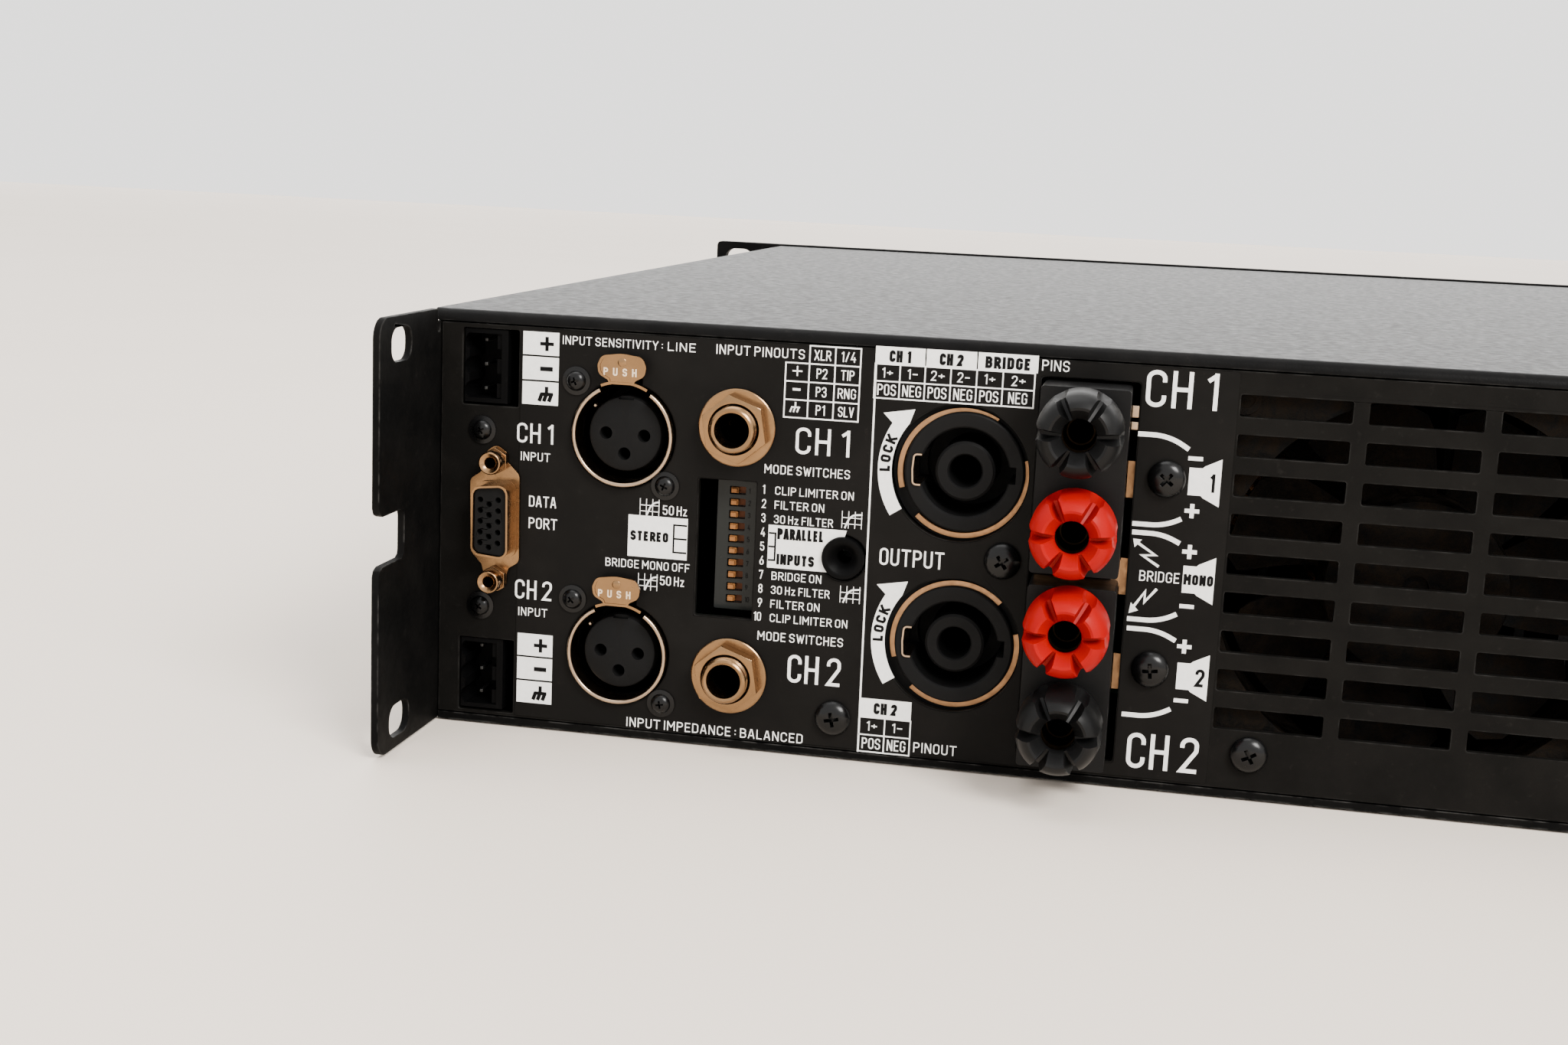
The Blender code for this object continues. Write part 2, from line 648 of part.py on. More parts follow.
# ---- fan, mains inlet, and inside --------------------------------------------------------------
def build_fan():
    """Axial fan behind the vent slots: frame with motor spider, and rotor."""
    x = rear_x(FAN_U)
    near = -2.6
    far = near - FAN_DEPTH
    half = FAN_SIZE / 2.0
    outlines = [rounded(x - half, x + half, FAN_Z - half, FAN_Z + half, 3.0, 2),
                circle(x, FAN_Z, 38.0, 32)]
    frame = plate("fan_frame", outlines, out(far), out(near), "XZ", "black_plastic")
    spider = lathe("spider", [(0.0, far + 0.6), (17.0, far + 0.6), (17.0, far + 3.0),
                              (2.5, far + 3.0), (2.5, near - 6.0), (0.0, near - 6.0)],
                   (x, REAR_Y, FAN_Z), None, 24)
    for turn in (45.0, 135.0):
        arm = block("arm", (x - 40.0, x + 40.0), (out(far + 0.9), out(far + 2.7)),
                    (FAN_Z - 2.5, FAN_Z + 2.5), None)
        turned_copy(arm, turn, (x, FAN_Z))
        combine(spider, arm, "UNION")
    combine(frame, spider, "UNION")
    hub = [(2.56, near - 5.0), (15.0, near - 3.0), (18.0, near - 5.5), (18.0, far + 4.0),
           (2.56, far + 4.0)]
    rotor = lathe("fan_rotor", hub, (x, REAR_Y, FAN_Z), "black_plastic", 24)
    for i in range(7):
        blade = block("blade", (x + 15.5, x + 36.5), (out(near - 13.9), out(near - 12.3)),
                      (FAN_Z - 8.5, FAN_Z + 8.5), None)
        pivot = Vector((x, out(near - 13.1), FAN_Z)) * MM
        pitch = Matrix.Rotation(math.radians(32.0), 4, "X")
        blade.data.transform(Matrix.Translation(pivot) @ pitch @ Matrix.Translation(-pivot))
        turned_copy(blade, i * 360.0 / 7.0, (x, FAN_Z))
        combine(rotor, blade, "UNION")
    set_origin(rotor, (x, out(near), FAN_Z))


def build_inlet():
    """Recessed mains inlet with three blades."""
    x = rear_x(INLET_U)
    z = INLET_Z
    body = block("mains_inlet", (x - 13.6, x + 13.6), (out(-20.0), out(2.3)),
                 (z - 9.8, z + 9.8), "black_plastic")
    flange = block("flange", (x - 16.0, x + 16.0), (out(0.4), out(2.0)), (z - 12.5, z + 12.5),
                   None)
    combine(body, flange, "UNION")
    cavity = block("cavity", (x - 12.0, x + 12.0), (out(-16.0), out(6.0)), (z - 8.2, z + 8.2),
                   None)
    combine(body, cavity, "DIFFERENCE")
    for dx, dz in ((-7.0, -2.2), (0.0, -0.2), (7.0, -2.2)):
        blade = block("blade", (x + dx - 1.0, x + dx + 1.0), (out(-17.0), out(-3.0)),
                      (z + dz - 2.2, z + dz + 2.2), None)
        combine(body, blade, "UNION")


def build_inside():
    """Circuit board, finned heatsink, and ring transformer."""
    block("main_board", (-190.0, 205.0), (-172.0, 132.0), (8.0, 9.6), "circuit_board")
    fins = 13
    pitch = 9.0
    left = -(fins - 1) / 2.0 * pitch
    profile = [(left - 1.0, 12.0), (-left + 1.0, 12.0)]
    for i in reversed(range(fins)):
        x = left + i * pitch
        profile += [(x + 1.0, 76.0), (x - 1.0, 76.0)]
        if i:
            profile += [(x - 1.0, 18.0), (x - pitch + 1.0, 18.0)]
    profile = [(x + rear_x(FAN_U), z) for x, z in profile]
    plate("heatsink", [profile], -110.0, 128.0, "XZ", "aluminium")
    ring = [(15.0, 12.0), (48.0, 12.0), (54.0, 18.0), (54.0, 58.0), (48.0, 64.0), (15.0, 64.0)]
    lathe("ring_transformer", ring, (-125.0, 60.0, 0.0), "winding", 20, axis="Z")


# ---- front controls ----------------------------------------------------------------------------
def build_front_controls():
    """Two level knobs and the power rocker."""
    for index, x in enumerate(KNOB_X, 1):
        profile = [(0.0, -12.0), (9.4, -12.0), (10.4, -11.2), (11.0, -1.0), (11.0, -0.4),
                   (3.5, -0.4), (3.5, 9.0), (0.0, 9.0)]
        knob = lathe("level_knob_%d" % index, profile, (x, FRONT_Y, KNOB_Z), "black_plastic", 20)
        mark = block("mark", (x - 0.5, x + 0.5), (FRONT_Y - 13.0, FRONT_Y - 11.6),
                     (KNOB_Z + 2.0, KNOB_Z + 14.0), None)
        combine(knob, mark, "DIFFERENCE")
        set_origin(knob, (x, FRONT_Y, KNOB_Z))
    axis_y = FRONT_Y + 4.0
    profile = [(-5.5, -8.6), (-4.2, 0.0), (-7.6, 8.6), (0.5, 8.4), (6.0, 4.0), (6.0, -4.0),
               (0.5, -8.4)]
    points = [(axis_y + y, ROCKER_Z + z) for y, z in profile]
    rocker = plate("power_rocker", [points], ROCKER_X - 6.2, ROCKER_X + 6.2, "YZ",
                   "black_plastic")
    set_origin(rocker, (ROCKER_X, axis_y, ROCKER_Z))


def shade_round_pieces():
    """Smooth shading with sharp edges kept above thirty degrees."""
    for obj in AMP.objects:
        for face in obj.data.polygons:
            face.use_smooth = True
        obj.data.set_sharp_from_angle(angle=math.radians(30.0))


build_bottom()
build_sides()
build_rear_panel()
build_label()
build_cover()
build_front_panel()
for number, height in enumerate(EURO_Z, 1):
    build_euroblock(number, height)
build_data_port()
for number, place in enumerate(XLR_CENTRES, 1):
    build_xlr(number, place)
for number, place in enumerate(JACK_CENTRES, 1):
    build_jack(number, place)
build_dip()
build_threaded_post()
for number, place in enumerate(SOCKET_CENTRES, 1):
    build_socket(number, place)
build_binding_base(1, BIND_Z[:2])
build_binding_base(2, BIND_Z[2:])
for number, height in enumerate(BIND_Z, 1):
    build_binding_post(number, height)
build_fan()
build_inlet()
build_inside()
build_front_controls()
shade_round_pieces()
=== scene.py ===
"""Looks of the power amplifier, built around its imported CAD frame.

Pieces are drawn in millimetres in the space of a face. On the rear panel X is u, to the
right as seen from behind, Y is the height z, and Z points out of the panel.
"""

import math

import bmesh
import bpy
from mathutils import Matrix, Vector


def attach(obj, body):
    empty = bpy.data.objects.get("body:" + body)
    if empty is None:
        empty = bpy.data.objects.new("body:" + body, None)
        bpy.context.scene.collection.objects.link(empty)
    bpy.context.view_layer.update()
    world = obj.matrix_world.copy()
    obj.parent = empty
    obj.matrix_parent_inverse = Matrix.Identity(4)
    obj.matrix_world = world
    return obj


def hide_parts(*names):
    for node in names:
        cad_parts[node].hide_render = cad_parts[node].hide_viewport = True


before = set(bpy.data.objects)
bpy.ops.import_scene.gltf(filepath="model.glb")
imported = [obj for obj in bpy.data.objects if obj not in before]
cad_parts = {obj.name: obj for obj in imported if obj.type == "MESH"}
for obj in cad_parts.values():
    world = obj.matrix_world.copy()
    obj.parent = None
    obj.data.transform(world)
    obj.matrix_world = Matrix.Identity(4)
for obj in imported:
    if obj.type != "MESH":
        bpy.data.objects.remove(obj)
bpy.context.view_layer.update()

# ---- sizes of the frame, millimetres
MM = 0.001
CHASSIS_W, CHASSIS_H = 431.8, 87.5
HALF_W = CHASSIS_W / 2.0
RACK_W, RACK_H = 482.6, 88.1
FRONT_Y, REAR_Y = -194.0, 174.0
FRONT_BACK = FRONT_Y + 4.3
SHEET, COVER = 1.5, 1.2
EAR_END = 32.0
PANEL_TOP = 84.8
RACK_SLOT = (5.2, 3.4)        # half its width and half its height
RACK_SLOT_Z = 38.1            # above and below the middle height
VENT_U, VENT_TOP = 163.5, 80.3
VENT_SIZE, VENT_PITCH = (20.9, 4.3), (24.0, 7.76)

HEADER_Z, HEADER_PITCH = (76.1, 10.6), 5.08
HEADER_LEGEND = (7.8, 9.7)    # top of the white squares above each header's middle
DATA_U, DATA_Z, DATA_JACKS = 14.4, 44.3, 12.5
XLR_CENTRES = ((41.2, 63.9), (41.3, 17.9))
JACK_CENTRES = ((65.0, 67.1), (65.3, 15.4))
DIP_U, DIP_Z, DIP_PITCH, DIP_FACE = (57.4, 69.4), (27.5, 56.1), 2.54, -5.5
POST = (87.9, 42.0)
SOCKET_CENTRES = ((111.3, 61.2), (111.2, 25.9))
SOCKET_HOLES = ((110.5, 60.95), (110.8, 25.9))
SOCKET_PLATES = ((110.9, 60.8), (111.2, 25.8))
BIND_U, BIND_Z = 134.2, (73.1, 54.0, 35.0, 15.9)
BIND_BASE_U = (125.9, 143.0)
BIND_BASE_Z = ((44.2, 80.7), (5.4, 41.9))
FAN = (200.0, 43.7)
INLET = (384.0, 30.0)
KNOB_X, KNOB_Z = (-118.0, -158.0), 44.0
ROCKER_X, ROCKER_Z = 178.0, 44.0
INK = 0.2                     # height of the printing over the panel face
OVERPRINT = INK + 0.035       # height of black lettering on a white block
SHARP = math.radians(32.0)    # an edge past this angle is sharp

# ---- spaces
REAR = Matrix(((-MM, 0, 0, HALF_W * MM), (0, 0, MM, REAR_Y * MM), (0, MM, 0, 0), (0, 0, 0, 1)))
FRONT = Matrix(((MM, 0, 0, 0), (0, 0, -MM, FRONT_Y * MM), (0, MM, 0, 0), (0, 0, 0, 1)))
SIDE = Matrix(((0, 0, MM, 0), (MM, 0, 0, 0), (0, MM, 0, 0), (0, 0, 0, 1)))
ORIGIN = (0.0, 0.0)


# ---- outlines
def rect(a0, a1, b0, b1):
    return [(a0, b0), (a1, b0), (a1, b1), (a0, b1)]


def polar(radius, degrees, centre=ORIGIN):
    angle = math.radians(degrees)
    return centre[0] + radius * math.cos(angle), centre[1] + radius * math.sin(angle)


def arc(radius, start, end, steps, centre=ORIGIN):
    """Points along an arc, both ends included, angles in degrees."""
    return [polar(radius, start + (end - start) * i / steps, centre) for i in range(steps + 1)]


def circle(radius, steps=48, centre=ORIGIN):
    return arc(radius, 0.0, 360.0 - 360.0 / steps, steps - 1, centre)


def rounded(a0, a1, b0, b1, r, steps=5):
    corners = ((a1 - r, b0 + r, -90), (a1 - r, b1 - r, 0), (a0 + r, b1 - r, 90), (a0 + r, b0 + r, 180))
    return [p for a, b, start in corners for p in arc(r, start, start + 90.0, steps, (a, b))]


def pane(half_a, half_b, r, steps=5, centre=ORIGIN):
    """Rounded rectangle about a point."""
    a, b = centre
    return rounded(a - half_a, a + half_a, b - half_b, b + half_b, r, steps)


def smooth_path(points, radius, closed=False, steps=5):
    """Round the corners of a path. A point may carry its own radius as a third value."""
    count = len(points)
    result = []
    for i, point in enumerate(points):
        here = Vector(point[:2])
        r = point[2] if len(point) > 2 else radius
        back = Vector(points[i - 1][:2]) - here
        ahead = Vector(points[(i + 1) % count][:2]) - here
        at_end = not closed and i in (0, count - 1)
        if at_end or r <= 0.0 or back.angle(ahead) > math.pi - 0.02:
            result.append(tuple(here))
            continue
        half_turn = back.angle(ahead) / 2.0
        share_back = 1.0 if (not closed and i == 1) else 0.5
        share_ahead = 1.0 if (not closed and i == count - 2) else 0.5
        room = min(back.length * share_back, ahead.length * share_ahead)
        cut = min(r / math.tan(half_turn), room)
        start = here + back.normalized() * cut
        end = here + ahead.normalized() * cut
        weight = math.sin(half_turn)
        for k in range(steps + 1):
            t = k / steps
            a, b, c = (1 - t) ** 2, 2 * t * (1 - t) * weight, t ** 2
            result.append(tuple((start * a + here * b + end * c) / (a + b + c)))
    return [p for p, q in zip(result, result[1:] + result[:1]) if math.dist(p, q) > 1e-4]


# ---- piece builder
def show(name, data):
    """Put data in the scene as an object."""
    obj = bpy.data.objects.new(name, data)
    bpy.context.scene.collection.objects.link(obj)
    return obj


def baked(obj, *helpers):
    """Mesh of an object as its modifiers leave it. The object and its helpers are removed."""
    bpy.context.view_layer.update()
    graph = bpy.context.evaluated_depsgraph_get()
    mesh = bpy.data.meshes.new_from_object(obj.evaluated_get(graph))
    for each in (*helpers, obj):
        bpy.data.objects.remove(each, do_unlink=True)
    return mesh


class Piece:
    """One mesh under construction, in millimetres about a point of its own space."""

    def __init__(self, name, at=ORIGIN, space=REAR):
        self.name = name
        self.u, self.z = at
        self.space = space
        self.bm = bmesh.new()

    def vert(self, a, b, c):
        return self.bm.verts.new((self.u + a, self.z + b, c))

    def face(self, corners, mat):
        self.bm.faces.new(corners).material_index = mat

    def lathe(self, profile, segs=48, start=0.0, end=360.0, mat=0, centre=ORIGIN):
        """Turn a (radius, height) profile about Z. It closes on itself off the axis."""
        full = end - start > 359.9
        poles = {j: self.vert(*centre, h) for j, (r, h) in enumerate(profile) if r < 1e-6}
        rings = []
        for i in range(segs if full else segs + 1):
            angle = start + (end - start) * i / segs
            rings.append([poles.get(j) or self.vert(*polar(r, angle, centre), h)
                          for j, (r, h) in enumerate(profile)])
        count = len(profile)
        for i in range(segs):
            one, two = rings[i], rings[(i + 1) % len(rings)]
            for j in range(count - 1 if poles else count):
                k = (j + 1) % count
                loop = list(dict.fromkeys((one[j], two[j], two[k], one[k])))
                if len(loop) > 2:
                    self.face(loop, mat)
        if not full:
            for ring in (rings[0], rings[-1]):
                self.face(ring, mat)

    def extrude(self, outlines, low, high, mat=0):
        """Outline with holes, extruded from low to high."""
        curve = bpy.data.curves.new("outline", "CURVE")
        curve.dimensions = "2D"
        curve.fill_mode = "BOTH"
        curve.extrude = (high - low) / 2.0
        for outline in outlines:
            spline = curve.splines.new("POLY")
            spline.points.add(len(outline) - 1)
            spline.use_cyclic_u = True
            for point, (a, b) in zip(spline.points, outline):
                point.co = (self.u + a, self.z + b, 0.0, 1.0)
        mesh = baked(show("outline", curve))
        mesh.transform(Matrix.Translation((0.0, 0.0, (low + high) / 2.0)))
        self.add_mesh(mesh, mat)

    def add_mesh(self, mesh, mat=0):
        """Take in a mesh, joining its own coincident points first."""
        part = bmesh.new()
        part.from_mesh(mesh)
        bmesh.ops.remove_doubles(part, verts=part.verts, dist=1e-4)
        for face in part.faces:
            face.material_index = mat
        part.to_mesh(mesh)
        part.free()
        self.bm.from_mesh(mesh)
        bpy.data.meshes.remove(mesh)

    def box(self, a, b, c, mat=0, turn=None):
        """Box over three ranges, turned by a matrix about its middle when given."""
        size = [high - low for low, high in (a, b, c)]
        middle = (self.u + sum(a) / 2.0, self.z + sum(b) / 2.0, sum(c) / 2.0)
        place = Matrix.Translation(middle) @ (turn or Matrix.Identity(4)) @ Matrix.Diagonal((*size, 1.0))
        for vert in bmesh.ops.create_cube(self.bm, size=1.0, matrix=place)["verts"]:
            for face in vert.link_faces:
                face.material_index = mat

    def skin(self, rows, mat=0, closed=False):
        """Join matching loops into one solid, capped at its ends unless the stack closes."""
        for one, two in zip(rows, rows[1:] + (rows[:1] if closed else [])):
            for j in range(len(one)):
                k = (j + 1) % len(one)
                self.face((one[j], one[k], two[k], two[j]), mat)
        if not closed:
            self.face(rows[0][::-1], mat)
            self.face(rows[-1], mat)

    def ribbon(self, points, width, low, high, closed=False, mat=0):
        """Flat band of constant width along a path, with mitred corners."""
        count = len(points)
        path = [Vector((self.u + p[0], self.z + p[1])) for p in points]
        rows = []
        for i in range(count):
            before = path[i] - path[i - 1] if (closed or i) else path[1] - path[0]
            after = path[(i + 1) % count] - path[i] if (closed or i < count - 1) else before
            before, after = before.normalized(), after.normalized()
            across = Vector((-before.y, before.x))
            side = Vector((-before.y - after.y, before.x + after.x))
            side = side.normalized() if side.length > 1e-6 else across
            offset = side * (width / 2.0 / max(0.45, side.dot(across)))
            left, right = path[i] + offset, path[i] - offset
            rows.append([self.bm.verts.new((p.x, p.y, h))
                         for p, h in ((left, low), (right, low), (right, high), (left, high))])
        self.skin(rows, mat, closed)

    def tube(self, points, radius, segs=10):
        """Round rod along 3-D points."""
        path = [Vector((self.u + a, self.z + b, c)) for a, b, c in points]
        rings = []
        for i, here in enumerate(path):
            ahead = (path[min(i + 1, len(path) - 1)] - path[max(i - 1, 0)]).normalized()
            side = ahead.cross(Vector((0.0, 0.0, 1.0)))
            if side.length < 1e-3:
                side = ahead.cross(Vector((0.0, 1.0, 0.0)))
            side.normalize()
            top = side.cross(ahead)
            rings.append([self.bm.verts.new(here + x * side + y * top)
                          for x, y in (polar(radius, 360.0 * k / segs) for k in range(segs))])
        self.skin(rings)

    def cut(self, cutters, operation="DIFFERENCE"):
        """Boolean other pieces into this one, in millimetres."""
        holder = self.as_object(Matrix.Identity(4))
        tools = [cutter.as_object(Matrix.Identity(4)) for cutter in cutters]
        for tool in tools:
            mod = holder.modifiers.new("cut", "BOOLEAN")
            mod.operation = operation
            mod.solver = "EXACT"
            mod.object = tool
        mesh = baked(holder, *tools)
        self.bm = bmesh.new()
        self.bm.from_mesh(mesh)
        bpy.data.meshes.remove(mesh)

    def merge_flat(self):
        """Join the coplanar triangles of a filled outline, so that a bevel meets no slivers."""
        bmesh.ops.dissolve_limit(self.bm, angle_limit=math.radians(0.1), use_dissolve_boundaries=False,
                                 verts=self.bm.verts, edges=self.bm.edges, delimit={"MATERIAL"})

    def as_object(self, space):
        bmesh.ops.recalc_face_normals(self.bm, faces=self.bm.faces)
        mesh = bpy.data.meshes.new(self.name)
        self.bm.to_mesh(mesh)
        self.bm.free()
        mesh.transform(space)
        return show(self.name, mesh)

    def done(self, mats, stands_for=None, body="chassis", slot=None, bevel=0.0, segments=2):
        """Make the finished object and tie it to its body. A slot is looked up from its first material but
        not used.
        """
        obj = self.as_object(self.space)
        mats = mats if isinstance(mats, tuple) else (mats,)
        for mat in mats:
            obj.data.materials.append(mat)
        obj.data.shade_smooth()
        obj.data.set_sharp_from_angle(angle=SHARP)
        if bevel:
            mod = obj.modifiers.new("bevel", "BEVEL")
            mod.width = bevel * MM
            mod.segments = segments
            mod.limit_method = "ANGLE"
            mod.angle_limit = SHARP
            mod.harden_normals = True
            mod.miter_outer = "MITER_ARC"
        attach(obj, body)
        if stands_for:
            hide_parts(stands_for)
        slot = slot or SLOTS.get(mats[0].name)


# ---- materials
class Shade:
    """A Principled material under construction."""

    def __init__(self, name, base, rough, metal=0.0, **sockets):
        self.mat = bpy.data.materials.new(name)
        self.mat.use_nodes = True
        self.tree = self.mat.node_tree
        self.shader = self.tree.nodes["Principled BSDF"]
        self.base = base
        self.normal = None
        self.put("Base Color", (*base, 1.0))
        self.put("Roughness", rough)
        self.put("Metallic", metal)
        for key, value in sockets.items():
            self.put(key.replace("_", " "), value)
        self.place = self.node("TexCoord", {}, "Object")

    def put(self, socket, value):
        self.feed(self.shader.inputs[socket], value)

    def feed(self, target, value):
        """Link a socket to another one, or set it to a value."""
        if isinstance(value, bpy.types.NodeSocket):
            self.tree.links.new(value, target)
        elif value is not None:
            target.default_value = value

    def node(self, kind, inputs, output, **settings):
        """Add a node, feed its inputs, and return one of its outputs."""
        node = self.tree.nodes.new("ShaderNode" + kind)
        for key, value in settings.items():
            setattr(node, key, value)
        for key, value in inputs.items():
            self.feed(node.inputs[key], value)
        return node.outputs[output]

    def noise(self, scale, detail=4.0, rough=0.55, distort=0.0, stretch=None):
        place = self.stretched(stretch) if stretch else self.place
        return self.node("TexNoise", {"Vector": place, "Scale": scale, "Detail": detail, "Roughness": rough,
                                      "Distortion": distort}, "Fac")

    def stretched(self, factors):
        return self.node("Mapping", {"Vector": self.place, "Scale": factors}, "Vector")

    def ramp(self, value, start, end, low=0.0, high=1.0):
        """Map a value to levels low and high at start and end."""
        colours = self.node("ValToRGB", {"Fac": value}, "Color")
        for element, position, level in zip(colours.node.color_ramp.elements, (start, end), (low, high)):
            element.position = position
            element.color = (level, level, level, 1.0)
        return colours

    def patches(self, noise, start, end, low=0.0, high=1.0):
        """Noise of the given scale, detail, and so on, through a ramp."""
        return self.ramp(self.noise(*noise), start, end, low, high)

    def maths(self, operation, one, two, clamp=False):
        return self.node("Math", {0: one, 1: two}, 0, operation=operation, use_clamp=clamp)

    def mix(self, share, one, two):
        one, two = ((*c, 1.0) if isinstance(c, tuple) else c for c in (one, two))
        return self.node("Mix", {"Factor": share, 6: one, 7: two}, 2, data_type="RGBA")

    def tint(self, mask, share, colour):
        """Mix a colour into the base where the mask is high, up to a share."""
        self.put("Base Color", self.mix(self.maths("MULTIPLY", mask, share), self.base, colour))

    def bump(self, height, strength, distance):
        """Add a bump layer, distance in millimetres."""
        self.normal = self.node("Bump", {"Strength": strength, "Distance": distance * MM, "Height": height,
                                         "Normal": self.normal}, "Normal")
        self.put("Normal", self.normal)

    def edges(self, radius):
        """One along sharp edges, zero on flat faces."""
        rim = self.node("Bevel", {"Radius": radius * MM}, "Normal", samples=4)
        flat = self.node("NewGeometry", {}, "Normal")
        level = self.node("VectorMath", {0: rim, 1: flat}, "Value", operation="DOT_PRODUCT")
        return self.maths("SUBTRACT", 1.0, level, clamp=True)


def coated_steel(name, base, dust, wear_and_edge_highlight, rough, gloss, grain=0.35):
    """Black fine-texture powder coat with dust and scuffs; its edges are lightened, partly as worn paint and
    partly as a painted edge highlight.
    """
    s = Shade(name, base, rough, Specular_IOR_Level=gloss)
    fleck = s.patches((420.0, 6.0, 0.7), 0.60, 0.78)
    film = s.patches((90.0, 6.0, 0.6), 0.38, 0.95, 0.0, 0.7)
    settled = s.maths("MULTIPLY", s.maths("ADD", fleck, film), dust, clamp=True)
    dusty = s.mix(settled, base, (0.05, 0.045, 0.04))
    # Edges lightened to grey in patches: partly worn paint, partly a painted edge highlight.
    rubbed_and_lit = s.patches((260.0, 3.0, 0.6), 0.42, 0.62)
    rim = s.maths("MULTIPLY", s.ramp(s.edges(0.55), 0.02, 0.25), rubbed_and_lit)
    s.put("Base Color", s.mix(s.maths("MULTIPLY", rim, wear_and_edge_highlight, clamp=True), dusty, (0.09, 0.088, 0.084)))
    s.put("Roughness", s.patches((500.0, 4.0), 0.3, 0.7, rough - 0.06, rough + 0.08))
    s.bump(s.noise(2600.0, 3.0, 0.6), grain, 0.05)
    s.bump(s.noise(700.0, 2.0, 0.5), 0.12, 0.06)
    return s.mat


def plated(name, base, rough, brushed=0.0):
    """Plated or bare metal with fine rubbing marks and dull patches."""
    s = Shade(name, base, rough, 1.0)
    s.tint(s.patches((180.0, 5.0, 0.6), 0.35, 0.8), 0.55, tuple(c * 0.62 for c in base))
    s.put("Roughness", s.patches((700.0, 4.0, 0.7), 0.3, 0.75, rough * 0.75, rough * 1.6))
    s.bump(s.noise(1500.0, 3.0, 0.6, 0.0, (1.0, 1.0, 12.0)), 0.05 + brushed, 0.02)
    return s.mat


def moulded(name, base, rough, grain=0.12, dust=0.1, coat=0.0, tint=(0.05, 0.045, 0.04), gloss=0.12):
    """Moulded plastic with a fine grain, slight dust, and uneven gloss."""
    s = Shade(name, base, rough, Coat_Weight=coat, Coat_Roughness=0.08, Specular_IOR_Level=gloss)
    s.tint(s.patches((520.0, 5.0, 0.7), 0.58, 0.8), dust, tint)
    s.put("Roughness", s.patches((240.0, 4.0), 0.3, 0.75, rough * 0.85, rough * 1.3))
    s.bump(s.noise(3200.0, 2.0, 0.5), grain, 0.03)
    return s.mat


def label_film():
    """Matte black printed film, faintly mottled."""
    s = Shade("label_film", (0.0042, 0.0039, 0.0036), 0.4, Specular_IOR_Level=0.05)
    speck = s.patches((600.0, 6.0, 0.75), 0.62, 0.8)
    smear = s.maths("MULTIPLY", s.patches((55.0, 4.0, 0.6), 0.45, 0.8), 0.3)
    s.tint(s.maths("ADD", speck, smear), 0.22, (0.04, 0.036, 0.032))
    s.put("Roughness", s.patches((120.0, 3.0), 0.3, 0.7, 0.36, 0.5))
    s.bump(s.noise(900.0, 3.0, 0.6), 0.1, 0.04)
    return s.mat


def ink(name, base, gloss=0.3):
    """Screen-printed ink, slightly uneven."""
    s = Shade(name, base, 0.5, Specular_IOR_Level=gloss)
    s.tint(s.patches((900.0, 4.0, 0.6), 0.35, 0.75), 0.35, tuple(c * 0.72 for c in base))
    s.bump(s.noise(2000.0, 2.0), 0.08, 0.02)
    return s.mat


def dusty_fan():
    """Dark fan plastic furred with brown dust."""
    s = Shade("fan_plastic", (0.0014, 0.0014, 0.0014), 0.6, Specular_IOR_Level=0.04)
    fur = s.patches((260.0, 8.0, 0.75, 0.6), 0.38, 0.66)
    s.tint(fur, 0.75, (0.011, 0.0075, 0.0048))
    s.put("Roughness", s.ramp(fur, 0.0, 1.0, 0.4, 0.95))
    s.bump(s.noise(900.0, 6.0, 0.8), 0.6, 0.3)
    return s.mat


def wound_copper():
    """Varnished copper turns under dust."""
    s = Shade("copper_turns", (0.42, 0.17, 0.06), 0.4, 0.7)
    fur = s.patches((300.0, 6.0, 0.7), 0.4, 0.7)
    s.tint(fur, 0.7, (0.1, 0.08, 0.06))
    s.put("Roughness", s.ramp(fur, 0.0, 1.0, 0.32, 0.8))
    s.bump(s.noise(800.0, 4.0, 0.7), 0.3, 0.1)
    return s.mat


def solder_mask():
    """Green circuit board with faint tracks."""
    s = Shade("solder_mask", (0.012, 0.07, 0.03), 0.4)
    cells = s.node("TexVoronoi", {"Vector": s.stretched((1.0, 1.0, 0.0)), "Scale": 220.0}, "Distance",
                   feature="DISTANCE_TO_EDGE")
    track = s.ramp(cells, 0.05, 0.09, 1.0, 0.0)
    s.put("Base Color", s.mix(track, s.base, (0.03, 0.14, 0.06)))
    s.put("Roughness", s.patches((100.0,), 0.3, 0.7, 0.35, 0.55))
    s.bump(track, 0.3, 0.05)
    return s.mat


STEEL = coated_steel("steel_coat", (0.0022, 0.0022, 0.0022), 0.12, 0.5, 0.5, 0.025)
COVER_STEEL = coated_steel("cover_coat", (0.003, 0.003, 0.0031), 0.1, 0.2, 0.36, 0.031, 0.8)
PANEL_STEEL = coated_steel("panel_coat", (0.0036, 0.0034, 0.0031), 0.1, 0.2, 0.46, 0.035)
FILM = label_film()
WHITE = ink("white_ink", (0.8, 0.8, 0.78))
GREY = ink("grey_ink", (0.36, 0.35, 0.34))
BLACK_INK = ink("black_ink", (0.003, 0.003, 0.0031), 0.06)
NICKEL = plated("nickel", (0.41, 0.30, 0.205), 0.16)
# Painted highlight: a bright nickel for the raised PUSH letters.
HIGHLIGHT_NICKEL = plated("nickel_painted_highlight", (0.82, 0.68, 0.52), 0.2)
WARM_NICKEL = plated("warm_nickel", (0.25, 0.145, 0.07), 0.2)
BARE = plated("bare_sheet", (0.36, 0.20, 0.10), 0.42, 0.1)
CONTACT = plated("contact_metal", (0.35, 0.24, 0.11), 0.28)
